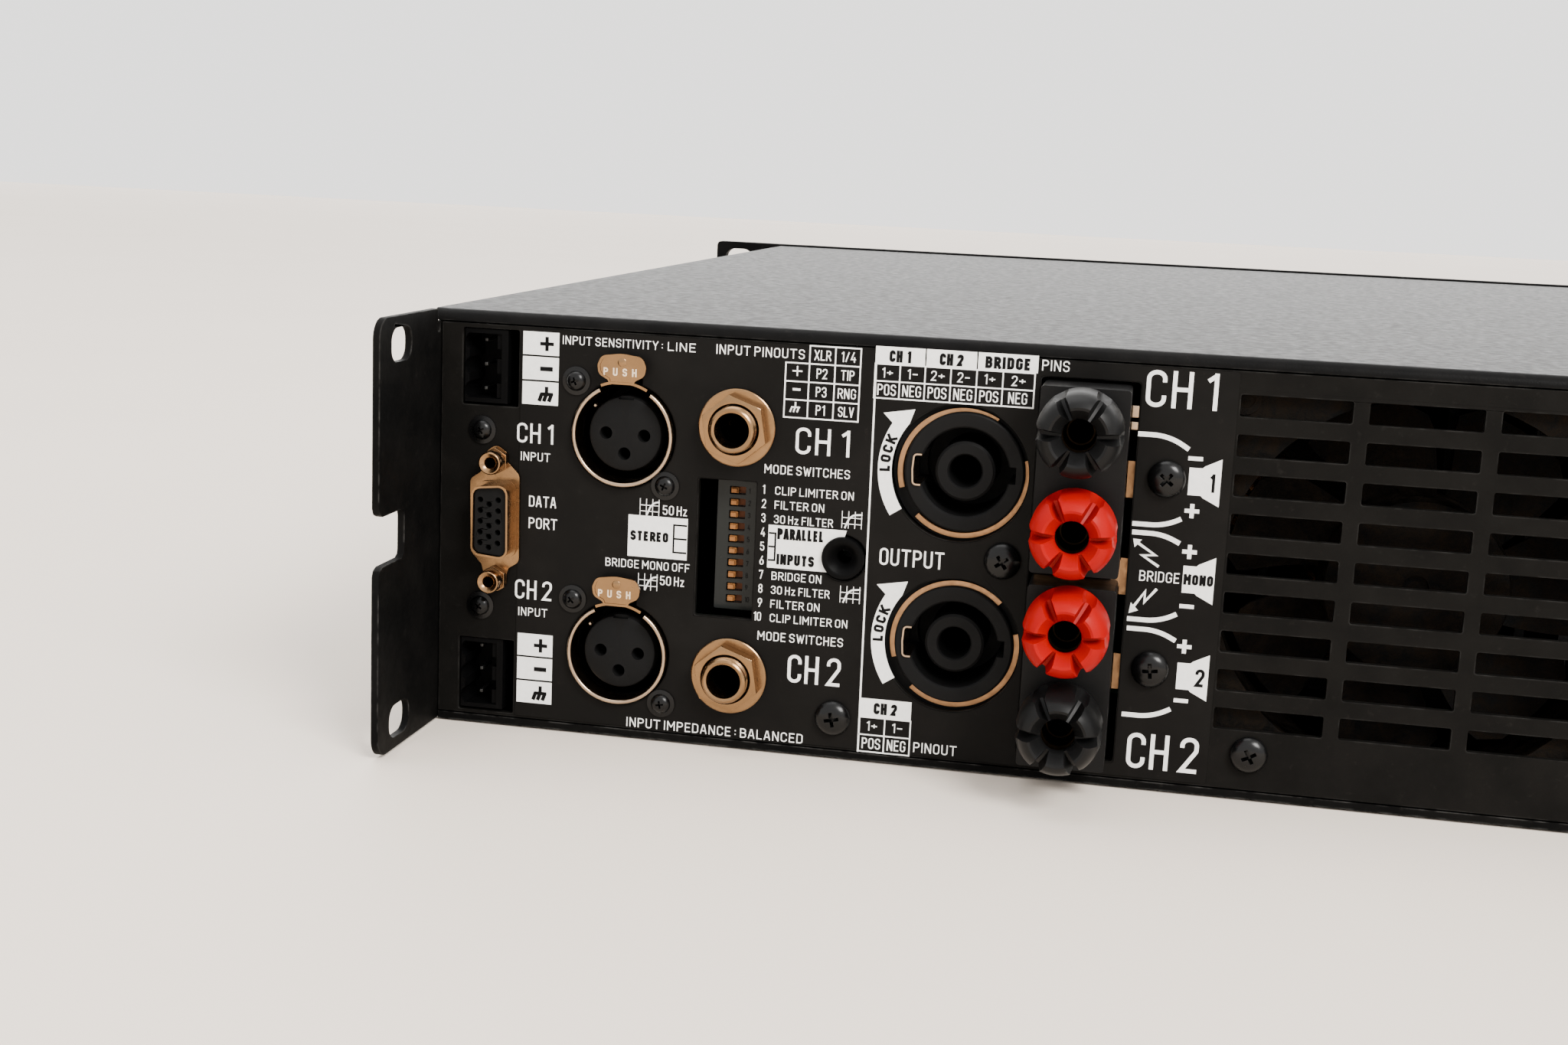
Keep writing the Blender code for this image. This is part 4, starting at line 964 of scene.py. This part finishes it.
# ---- outputs
def socket(index):
    at = SOCKET_CENTRES[index - 1]
    body = Piece(f"socket_{index}_body", at)
    body.lathe([(3.3, -2.2), (3.6, -1.8), (5.5, -1.8), (6.0, -2.2), (6.0, -16.0), (8.9, -16.0), (8.9, -0.6),
                (9.2, -0.25), (9.6, -0.15), (11.6, -0.15), (11.9, -0.35), (12.05, -0.8), (12.05, -2.6),
                (14.4, -2.6), (14.4, -4.0), (11.5, -4.0), (11.5, -20.0), (3.3, -20.0)], 96)
    key = Piece("key", at)
    key.box((8.0, 10.2), (-1.7, 1.7), (-13.0, 2.0))
    keyway = Piece("keyway", at)
    keyway.box((-10.4, -8.0), (-3.0, 3.0), (-13.0, 2.0))
    body.cut([key, keyway])
    body.done(BOSS, f"speaker_socket_{index}", bevel=0.08)
    # Painted shade: a black disc at the bottom of the socket.
    inner = Piece(f"socket_{index}_throat", at)
    inner.lathe([(0.0, -19.0), (3.2, -19.0), (3.2, -20.0), (0.0, -20.0)], 32)
    inner.done(SHADE_BLACK)
    bracket = [(-8.6, 3.05), (-10.15, 3.05), (-10.35, 0.0), (-10.15, -3.05), (-8.6, -3.05)]
    contact = Piece(f"socket_{index}_contact", at)
    contact.ribbon(smooth_path(bracket, 0.7), 0.32, -9.0, 0.25)
    contact.done(NICKEL)
    rim = Piece(f"socket_{index}_plate", SOCKET_PLATES[index - 1])
    for start, end in ((-131.0, 14.0), (46.0, 197.0)) if index == 2 else ((-134.0, 15.0), (60.0, 197.0)):
        rim.lathe([(11.95, -2.1), (13.1, -2.1), (13.1, -1.7), (12.1, -1.62), (11.95, -1.75)], 60, start, end)
    rim.done(BARE)


def binding_base(index):
    low, high = BIND_BASE_Z[index - 1]
    posts = BIND_Z[2 * index - 2:2 * index]
    tools = []
    for z in posts:
        bore = Piece("bore", (BIND_U, z))
        bore.lathe([(0.0, 12.0), (3.2, 12.0), (3.2, -12.0), (0.0, -12.0)], 32)
        tools.append(bore)
    for u in BIND_BASE_U:
        notch = Piece("notch", (u, sum(posts) / 2.0))
        notch.box((-0.5, 0.5), (-3.9, 3.9), (-9.0, 1.2))
        tools.append(notch)
    base = Piece(f"post_block_{index}")
    base.extrude([rounded(*BIND_BASE_U, low, high, 0.7, 3)], -8.0, 10.0)
    base.cut(tools)
    base.done(BLACK_CAP, f"binding_base_{index}", bevel=0.45, segments=3)


def bare_strips():
    """Bare inner sheet that shows in the gap beside and between the post blocks."""
    strips = Piece("inner_sheet_strips")
    for low, high in ((58.4, 65.7), (38.9, 46.3), (19.6, 26.9)):
        strips.box((143.1, 144.9), (low, high), (-2.3, -1.7))
    web = [(126.0, 42.15), (126.0, 43.95), (140.5, 43.95), (143.2, 47.0), (143.2, 39.5), (141.2, 42.15)]
    strips.extrude([smooth_path(web, 0.5, True, 3)], -1.5, -0.9)
    strips.done(BARE, bevel=0.1)
    tabs = Piece("inner_bright_tabs")
    for low, high in ((74.3, 76.8), (71.9, 73.6)):
        tabs.box((142.9, 144.75), (low, high), (-1.6, -0.5))
    tabs.done(NICKEL, bevel=0.35)


def binding_post(index):
    at = (BIND_U, BIND_Z[index - 1])
    # Painted shade: stud and bush are darkened brass, deep in the cap's bore.
    stud = Piece(f"post_{index}_stud", at)
    stud.lathe([(2.3, 14.6), (2.4, 15.0), (2.7, 15.0), (2.9, 14.7), (2.9, -10.0), (2.3, -10.0)], 40)
    stud.done(SHADED_BRASS, f"binding_stud_{index}")
    bush = Piece(f"post_{index}_bush", at)
    bush.lathe([(3.2, 11.0), (4.6, 11.0), (4.6, 19.0), (3.2, 19.0)], 40)
    bush.done(SHADED_BRASS, f"binding_bush_{index}", f"bush_{index}")
    grooves, flutes = [], []
    for turn in range(0, 360, 60):
        spin = Matrix.Rotation(math.radians(turn), 4, "Z")
        groove = Piece("groove", at)
        rows = []
        for x, half, floor in ((2.6, 0.25, 23.4), (5.4, 0.3, 22.0), (11.0, 0.45, 16.4)):
            section = ((-half, floor), (half, floor), (half * 4.4, 27.4), (-half * 4.4, 27.4))
            rows.append([groove.vert(*(spin @ Vector((x, y, h)))) for y, h in section])
        groove.skin(rows)
        grooves.append(groove)
        flute = Piece("flute", at)
        flute.lathe([(0.0, 12.9), (1.1, 13.6), (1.9, 16.0), (1.9, 28.0), (0.0, 28.0)], 20,
                    centre=polar(9.2, turn))
        flutes.append(flute)
    cap = Piece(f"post_{index}_cap", at)
    cap.lathe([(4.9, 10.4), (7.2, 10.4), (7.5, 10.8), (7.6, 12.6), (8.0, 13.6), (8.25, 15.2), (8.25, 20.6),
               (8.05, 22.4), (7.45, 24.2), (6.5, 25.4), (5.6, 25.9), (5.1, 25.75), (3.5, 23.6), (3.2, 22.9),
               (3.2, 21.6), (4.9, 21.6)], 72)
    cap.cut(grooves + flutes)
    cap.done(RED_CAP if index in (2, 3) else BLACK_CAP, f"binding_cap_{index}", f"cap_{index}", bevel=0.3,
             segments=3)


# ---- fan, inlet, inside
def fan():
    near, far = -2.6, -27.6
    housing = Piece("fan_housing", FAN)
    housing.extrude([pane(40.0, 40.0, 3.0), circle(38.0, 64)], far, near)
    for corner in rect(-35.7, 35.7, -35.7, 35.7):
        housing.lathe([(2.0, near), (3.4, near), (3.4, near + 0.2), (2.0, near + 0.2)], 16, centre=corner)
    housing.lathe([(0.0, far + 0.6), (17.0, far + 0.6), (17.0, far + 3.0), (2.5, far + 3.0),
                   (2.5, near - 6.0), (0.0, near - 6.0)], 32)
    for turn in (45.0, 135.0):
        housing.box((-39.0, 39.0), (-2.5, 2.5), (far + 0.9, far + 2.7),
                    turn=Matrix.Rotation(math.radians(turn), 4, "Z"))
    housing.done(DUSTY, "fan_frame", bevel=0.4)
    rotor = Piece("fan_impeller", FAN)
    rotor.lathe([(2.56, near - 5.0), (15.0, near - 3.0), (17.4, near - 3.6), (18.0, near - 5.5),
                 (18.0, far + 4.0), (2.56, far + 4.0)], 48)
    for blade in range(7):
        top, low = [], []
        for i in range(9):
            t = i / 8.0
            radius = 17.5 + 18.6 * t
            chord = (9.0 + 6.0 * t) * (1.0 - 0.35 * max(0.0, (t - 0.8) / 0.2) ** 2)
            pitch = math.radians(42.0 - 14.0 * t)
            section = []
            for s in (-1.0, -0.5, 0.0, 0.5, 1.0):
                rise = s * chord * 0.5 * math.sin(pitch) + 0.8 * (1 - s * s)
                angle = blade * 360.0 / 7.0 + 9.0 * t + math.degrees(s * chord * math.cos(pitch) / radius)
                section.append((*polar(radius, angle), near - 13.0 - rise))
            top.append([rotor.vert(a, b, c + 0.6) for a, b, c in section])
            low.append([rotor.vert(a, b, c - 0.6) for a, b, c in section])
        for i in range(8):
            for j in range(4):
                rotor.face((top[i][j], top[i][j + 1], top[i + 1][j + 1], top[i + 1][j]), 0)
                rotor.face((low[i][j], low[i + 1][j], low[i + 1][j + 1], low[i][j + 1]), 0)
            for j in (0, 4):
                rotor.face((top[i][j], top[i + 1][j], low[i + 1][j], low[i][j]), 0)
        for i in (0, 8):
            for j in range(4):
                rotor.face((top[i][j], low[i][j], low[i][j + 1], top[i][j + 1]), 0)
    rotor.done(DUSTY, "fan_rotor", "fan")


def inlet():
    throat = smooth_path([(-12, -8.2), (12, -8.2), (12, 3.6, 0.6), (8, 8.2, 0.6), (-8, 8.2, 0.6),
                          (-12, 3.6, 0.6)], 0.8, True)
    body = Piece("inlet_shell", INLET)
    body.extrude([pane(16.0, 12.5, 2.0), throat], 0.4, 2.2)
    body.extrude([pane(13.6, 9.8, 1.0), throat], -16.0, 0.5)
    body.box((-13.6, 13.6), (-9.8, 9.8), (-20.0, -15.99))
    body.done(PLASTIC, "mains_inlet", bevel=0.35)
    blades = Piece("inlet_blades", INLET)
    for a, b in ((-7.0, -2.2), (0.0, -0.2), (7.0, -2.2)):
        blades.box((a - 1.0, a + 1.0), (b - 2.2, b + 2.2), (-16.5, -3.0))
    blades.done(NICKEL, bevel=0.5, segments=3)


def inside():
    for name, mat in (("main_board", BOARD), ("heatsink", FIN), ("ring_transformer", TAPE),
                      ("bottom_pan", STEEL)):
        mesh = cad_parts[name].data
        mesh.materials.clear()
        mesh.materials.append(mat)
    foam = Piece("front_filter", space=FRONT)
    foam.box((-86.0, 150.0), (10.0, 78.0), (-12.0, -6.0))
    foam.done(FOAM, bevel=0.5)
    coils = Piece("filter_coils")
    turns, core, coil = 22, 8.0, 3.6
    for *centre, depth in ((176.0, 52.0, -40.0), (190.0, 30.0, -46.0)):
        for turn in (360.0 * k / turns for k in range(turns)):
            loop = arc(coil, 0.0, 360.0, 10)
            coils.tube([(*polar(core + out, turn, centre), depth + rise) for out, rise in loop], 0.8, 6)
    coils.done(COPPER)


# ---- front
def front():
    half = RACK_W / 2.0
    outlines = [rounded(-half, half, 0.0, RACK_H, 1.5, 4)]
    outlines += [pane(*RACK_SLOT, 3.39, 8, (x, RACK_H / 2.0 + z))
                 for x in (-232.55, 232.55) for z in (-RACK_SLOT_Z, RACK_SLOT_Z)]
    outlines += [circle(3.9, 32, (x, KNOB_Z)) for x in KNOB_X]
    outlines.append(pane(6.6, 10.9, 0.4, 2, (ROCKER_X, ROCKER_Z)))
    outlines += [rounded(x, x + 8.0, 14.0, 74.0, 3.0) for x in (-82.0 + i * 20.0 for i in range(12))]
    face = Piece("front_face", space=FRONT)
    face.extrude(outlines, -4.0, 0.0)
    face.merge_flat()
    face.done(STEEL, "front_panel", bevel=0.4, segments=3)
    words = Print("front_marks", space=FRONT, level=0.02)
    for index, x in enumerate(KNOB_X, 1):
        words.write(f"CH {index}", x - 4.0, 66.0, 3.4)
        words.write("LEVEL", x - 5.2, 16.5, 2.4)
        for k in range(11):
            angle = 240.0 - k * 30.0
            words.stroke([polar(radius, angle, (x, KNOB_Z)) for radius in (13.0, 15.0)], 0.45)
            a, b = polar(17.2, angle, (x, KNOB_Z))
            words.write(str(k), a - (1.4 if k > 9 else 0.7), b - 0.9, 1.8)
    words.write("POWER", ROCKER_X - 6.0, 62.0, 2.6)
    words.done(GREY)
    for index, x in enumerate(KNOB_X, 1):
        at = (x, KNOB_Z)
        flutes = []
        for k in range(24):
            flute = Piece("flute", at)
            flute.lathe([(0.0, 3.2), (0.7, 3.2), (0.7, 14.0), (0.0, 14.0)], 10, centre=polar(10.1, 15.0 * k))
            flutes.append(flute)
        knob = Piece(f"level_dial_{index}", at, FRONT)
        knob.lathe([(0.0, 12.0), (8.6, 12.0), (9.5, 11.5), (10.2, 3.0), (11.0, 1.4), (11.0, 0.4), (3.5, 0.4),
                    (3.5, -9.0), (0.0, -9.0)], 64)
        knob.cut(flutes)
        knob.done(PLASTIC, f"level_knob_{index}", f"knob_{index}", bevel=0.2)
        mark = Print(f"level_pointer_{index}", at, FRONT, 12.0)
        mark.stroke([(0.0, 3.0), (0.0, 8.4)], 0.9)
        mark.done(WHITE, body=f"knob_{index}", slot="black_plastic")
    profile = [(-5.5, -8.6), (-4.6, -3.0), (-4.2, 0.0), (-5.2, 4.0), (-7.6, 8.6), (0.5, 8.4), (6.0, 4.0),
               (6.0, -4.0), (0.5, -8.4)]
    rocker = Piece("rocker_cap", (FRONT_Y + 4.0, ROCKER_Z), SIDE)
    rocker.extrude([profile], ROCKER_X - 6.2, ROCKER_X + 6.2)
    rocker.done(BLACK_CAP, "power_rocker", "rocker", bevel=0.5, segments=3)
    for index, mat in enumerate((LED_GREEN, LED_GREEN, LED_RED, LED_RED), 1):
        lens = Piece(f"signal_lens_{index}", (206.0, 68.0 - 10.0 * index), FRONT)
        lens.lathe([(0.0, 1.3), (0.9, 1.1), (1.4, 0.6), (1.5, 0.02), (0.0, 0.02)], 24)
        lens.done(mat)


# ---- printing on the rear label
def left_legends():
    art = Print("legend_left")
    over = Print("legend_left_black", level=OVERPRINT)
    for z, rise in zip(HEADER_Z, HEADER_LEGEND):
        top = z + rise
        for k in range(3):
            art.block(rect(19.4, 27.1, top - 4.75 - k * 5.13, top - k * 5.13))
        mid = top - 2.4
        over.bar(24.5, mid, 1.45, 0.0, 0.72)
        over.bar(24.5, mid, 0.0, 1.45, 0.72)
        over.bar(24.5, mid - 5.15, 1.35, 0.0, 0.9)
        over.earth(24.6, mid - 10.35, 1.0, 0.72)
    for words, u, z, height, width, *icon in (
            ("CH 1", 18.4, 60.8, 4.1, 7.9), ("INPUT", 19.3, 57.1, 1.8, 6.4),
            ("CH 2", 18.6, 27.7, 4.1, 8.1), ("INPUT", 19.4, 24.1, 1.8, 6.4),
            ("DATA", 21.3, 47.5, 2.3, 5.9), ("PORT", 21.3, 42.9, 2.3, 6.2),
            ("INPUT SENSITIVITY", 27.8, 81.7, 1.75, 20.2), (": LINE", 48.6, 81.7, 1.75, 7.2),
            ("INPUT PINOUTS", 60.0, 81.7, 1.95, 18.2),
            ("INPUT IMPEDANCE : BALANCED", 43.6, 2.3, 2.0, 37.8),
            ("50 Hz", 50.0, 48.0, 1.95, 5.2, 45.2, 47.55, 1.4),
            ("50 Hz", 49.9, 33.2, 1.95, 5.2, 45.3, 31.85, 1.4),
            ("BRIDGE MONO OFF", 38.1, 36.3, 1.75, 18.0),
            ("CH 1", 77.0, 62.6, 5.4, 11.2), ("CH 2", 77.5, 15.1, 5.9, 11.1),
            ("MODE SWITCHES", 70.9, 58.2, 1.85, 17.6), ("MODE SWITCHES", 70.9, 23.5, 1.85, 17.9)):
        art.write(words, u, z, height, width)
        if icon:
            art.filter_icon(*icon)
    limiter, own_filter, low_filter = ("CLIP LIMITER ON", 16.2), ("FILTER ON", 10.3), ("30 Hz FILTER", 12.2)
    names = {1: limiter, 2: own_filter, 3: low_filter, 7: ("BRIDGE ON", 10.4), 8: low_filter, 9: own_filter,
             10: limiter}
    first, last = 54.85, 28.4
    for number in range(1, 11):
        z = first + (last - first) * (number - 1) / 9.0 - 0.9
        art.write(str(number), 69.9 if number == 10 else 70.7, z, 1.85)
        if number in names:
            words, width = names[number]
            art.write(words, 73.3, z, 1.7, width)
    art.filter_icon(87.3, 48.2, 0.6)
    art.filter_icon(87.7, 32.8, 0.6)
    art.block(rect(42.8, 55.4, 38.8, 47.5))
    inputs_block(art)
    columns, levels = (79.2, 84.4, 89.5), (69.9, 73.5, 77.2, 80.9, 84.5)
    art.grid(columns, levels)
    art.grid((74.4, 79.2), levels[:4])
    cells = (("XLR", 3.4, "1/4", 3.0), ("P2", 2.2, "TIP", 2.7), ("P3", 2.2, "RNG", 3.7),
             ("P1", 1.9, "SLV", 3.2))
    for row, (one, one_width, two, two_width) in enumerate(cells):
        z = 82.7 - row * 3.67
        art.centred(one, 81.8, z, 2.05, one_width)
        art.centred(two, 87.0, z, 2.05, two_width)
    art.bar(76.8, 79.3, 1.0, 0.0, 0.28)
    art.bar(76.8, 79.3, 0.0, 1.0, 0.28)
    art.bar(76.8, 75.6, 0.8, 0.0, 0.46)
    art.earth(76.7, 72.0, 0.68, 0.3)
    art.stroke([(92.6, 85.3), (92.95, 1.8)], 0.36)
    art.done(WHITE)
    for words, u, z, height, width in (("STEREO", 43.3, 42.2, 2.05, 8.1), ("PARALLEL", 74.2, 44.85, 2.3, 9.6),
                                       ("INPUTS", 74.2, 39.6, 2.2, 7.8)):
        over.write(words, u, z, height, width, weight=BOLD)
    over.stroke([(55.3, 46.0), (52.5, 46.0), (52.5, 40.3), (55.3, 40.3)], 0.36)
    over.stroke([(52.5, 43.15), (55.3, 43.15)], 0.36)
    over.stroke([(72.4, 46.0), (73.8, 46.0), (73.8, 40.4), (72.4, 40.4)], 0.36)
    over.stroke([(72.4, 43.2), (73.8, 43.2)], 0.36)
    over.done(BLACK_INK)


def inputs_block(art):
    """White block left of the threaded post, its outline stopping under the post's rim."""
    left, right, low, high, rim = 72.3, 88.4, 38.8, 47.7, 3.9
    above = [polar(rim, angle, POST) for angle in range(90, 181, 6)]
    below = [polar(rim, angle, POST) for angle in range(186, 270, 6)]
    foot = math.sqrt(rim ** 2 - (POST[1] - low) ** 2)
    art.block([(left, low), (left, high), (right, high)] + [p for p in above if p[0] < right] +
              [p for p in below if p[1] > low] + [(POST[0] - foot, low)])


def lock_arrow(art, over, u, z):
    """Broad curved arrow with its word, left of a speaker socket."""
    outline = arc(17.5, 149.0, 213.5, 24, (u, z)) + arc(14.7, 213.5, 142.0, 24, (u, z))
    art.block(outline + [(u - 10.6, z + 12.0), (u - 16.9, z + 10.9)])
    middle = 16.1

    def along(a, b):
        return polar(middle - 1.05 + b, 182.5 - math.degrees((a - 0.2) / middle), (u, z))

    over.write("LOCK", 0.0, 0.0, 2.1, 7.6, place=along, weight=BOLD)


def output_legends():
    art = Print("legend_outputs")
    over = Print("legend_outputs_black", level=OVERPRINT)
    columns = (92.45, 97.45, 102.45, 107.55, 112.65, 117.8, 124.0)
    art.grid(columns, (75.0, 78.4, 81.8))
    for left, right, words, width in ((92.4, 102.3, "CH 1", 4.3), (102.55, 112.5, "CH 2", 4.7),
                                      (112.75, 124.5, "BRIDGE", 9.0)):
        art.block(rect(left, right, 81.85, 85.3))
        over.centred(words, (left + right) / 2.0, 83.45, 2.35, width, BOLD)
    pins = (("1+", 2.3), ("1-", 2.2), ("2+", 2.8), ("2-", 2.5), ("1+", 2.3), ("2+", 2.8))
    for k, (words, width) in enumerate(pins):
        middle = (columns[k] + columns[k + 1]) / 2.0
        art.centred(words, middle, 80.1, 2.0, width)
        art.centred(("POS", "NEG")[k % 2], middle, 76.7, 2.25, 3.75)
    art.write("PINS", 125.2, 82.5, 2.1, 5.4)
    art.grid((93.0, 98.2, 103.5), (2.0, 5.6, 9.3))
    art.block(rect(93.0, 103.5, 9.35, 13.3))
    over.centred("CH 2", 98.2, 11.3, 2.4, 4.8, BOLD)
    for middle, words, pole in ((95.6, "1+", "POS"), (100.8, "1-", "NEG")):
        art.centred(words, middle, 7.5, 2.0, 2.3)
        art.centred(pole, middle, 3.8, 2.3, 3.85)
    for words, u, z, height, width in (("PINOUT", 104.3, 2.9, 2.1, 8.9), ("OUTPUT", 95.3, 41.3, 3.5, 13.1),
                                       ("CH 1", 145.4, 76.8, 7.2, 13.8),
                                       ("CH 2", 147.1, 4.2, 7.3, 14.1)):
        art.write(words, u, z, height, width)
    for (u, z), (du, dz) in zip(SOCKET_CENTRES, ((0.2, 0.0), (0.75, 0.4))):
        lock_arrow(art, over, u + du, z + dz)
    for mid, words in ((62.8, "1"), (43.4, "MONO"), (23.9, "2")):
        u = 154.9 + (62.8 - mid) * 0.02
        art.block([(u, mid - 2.7), (u + 2.5, mid - 2.7), (u + 2.9, mid - 3.1), (u + 6.1, mid - 4.7),
                   (u + 6.1, mid + 4.7), (u + 2.9, mid + 3.1), (u + 2.5, mid + 2.7), (u, mid + 2.7)])
        if words == "MONO":
            over.write(words, u + 0.2, mid - 1.05, 2.1, 5.7, weight=BOLD)
        else:
            over.centred(words, u + 4.5, mid - 0.1, 3.6, 1.0 if words == "1" else 1.8, 2.0)
    for u, z, sign in ((155.9, 67.3, "-"), (156.0, 57.0, "+"), (156.2, 48.9, "+"), (156.5, 38.0, "-"),
                       (156.7, 29.9, "+"), (156.9, 18.9, "-")):
        art.bar(u, z, 1.4, 0.0, 0.8)
        if sign == "+":
            art.bar(u, z, 0.0, 1.4, 0.8)
    wires = (((144.6, 71.4), (150.6, 71.4), (154.5, 69.0)), ((144.8, 53.7), (151.2, 53.7), (154.1, 55.3)),
             ((144.9, 52.0), (150.8, 52.0), (154.2, 50.4)), ((145.2, 34.6), (151.6, 34.6), (154.7, 36.3)),
             ((145.3, 32.7), (151.4, 32.7), (154.9, 30.9)), ((145.6, 15.1), (151.5, 15.1), (155.0, 17.0)))
    for wire in wires:
        art.stroke(smooth_path(wire, 11.0, steps=8), 0.95)
    art.write("BRIDGE", 146.9, 42.4, 2.1, 7.8, weight=1.25)
    for bolt in (((150.5, 45.5), (147.2, 47.5), (149.7, 47.7), (146.2, 49.9)),
                 ((150.5, 41.0), (148.3, 38.2), (148.3, 40.3), (146.2, 37.0))):
        art.stroke(bolt, 0.55)
    art.block([(145.2, 50.7), (145.6, 49.0), (146.9, 50.6)])
    art.block([(145.4, 35.7), (147.2, 36.4), (145.7, 37.9)])
    art.done(WHITE)
    over.done(BLACK_INK)


# ---- stage
def lamp(name, place, target, size, power, colour):
    """Rectangular soft light facing a target."""
    data = bpy.data.lights.new(name, "AREA")
    data.shape = "RECTANGLE"
    data.size, data.size_y = size
    data.energy = power
    data.color = colour
    obj = show(name, data)
    obj.location = place
    obj.rotation_euler = (Vector(target) - Vector(place)).to_track_quat("-Z", "Y").to_euler()


def stage():
    floor_mesh = bpy.data.meshes.new("floor")
    reach, wall = 4.0, -3.2
    corners = [(x, y, 0.0) for x, y in rect(-reach, reach, wall, reach)]
    floor_mesh.from_pydata(corners, [], [(0, 1, 2, 3)])
    floor = show("floor", floor_mesh)
    s = Shade("floor_paint", (0.68, 0.6, 0.52), 0.6, Specular_IOR_Level=0.2)
    s.put("Base Color", s.mix(s.noise(6.0, 3.0), (0.66, 0.58, 0.50), (0.70, 0.62, 0.54)))
    floor_mesh.materials.append(s.mat)
    floor.location.z = -0.0005
    world = bpy.data.worlds.new("soft_room")
    bpy.context.scene.world = world
    world.use_nodes = True
    sky = world.node_tree.nodes["Background"]
    sky.inputs["Color"].default_value = (1.0, 0.985, 0.965, 1.0)
    sky.inputs["Strength"].default_value = 2.1
    lamp("pale_wall", (0.0, wall, 1.4), (0.0, 0.0, 1.4), (7.0, 2.8), 125.0, (1.0, 0.99, 0.97))
    lamp("window", (-1.1, 1.5, 1.5), (0.05, 0.1, 0.05), (0.9, 0.9), 105.0, (1.0, 0.98, 0.95))
    lamp("ceiling", (0.5, -0.1, 2.2), (0.0, 0.0, 0.0), (1.6, 1.6), 30.0, (1.0, 1.0, 1.0))
    data = bpy.data.cameras.new("camera")
    data.lens = 45.07
    data.sensor_width = 36.0
    data.clip_start = 0.01
    camera = show("camera", data)
    right = Vector((-0.97969, -0.19571, 0.04355))
    back = -Vector((0.18477, -0.96560, -0.18294))
    place = Matrix((right, back.cross(right), back)).transposed().to_4x4()
    place.translation = (HALF_W * MM - 0.149, REAR_Y * MM + 0.3847, 0.1212)
    camera.matrix_world = place
    bpy.context.scene.camera = camera


sides()
rear_panel()
cover()
rear_screws()
for number, height in enumerate(HEADER_Z, 1):
    terminal_header(number, height)
data_port()
for number, centre in enumerate(XLR_CENTRES, 1):
    xlr(number, centre)
for number, centre in enumerate(JACK_CENTRES, 1):
    jack(number, centre)
mode_switch()
threaded_post()
for number in (1, 2):
    socket(number)
    binding_base(number)
bare_strips()
for number in (1, 2, 3, 4):
    binding_post(number)
fan()
inlet()
inside()
front()
left_legends()
output_legends()
stage()
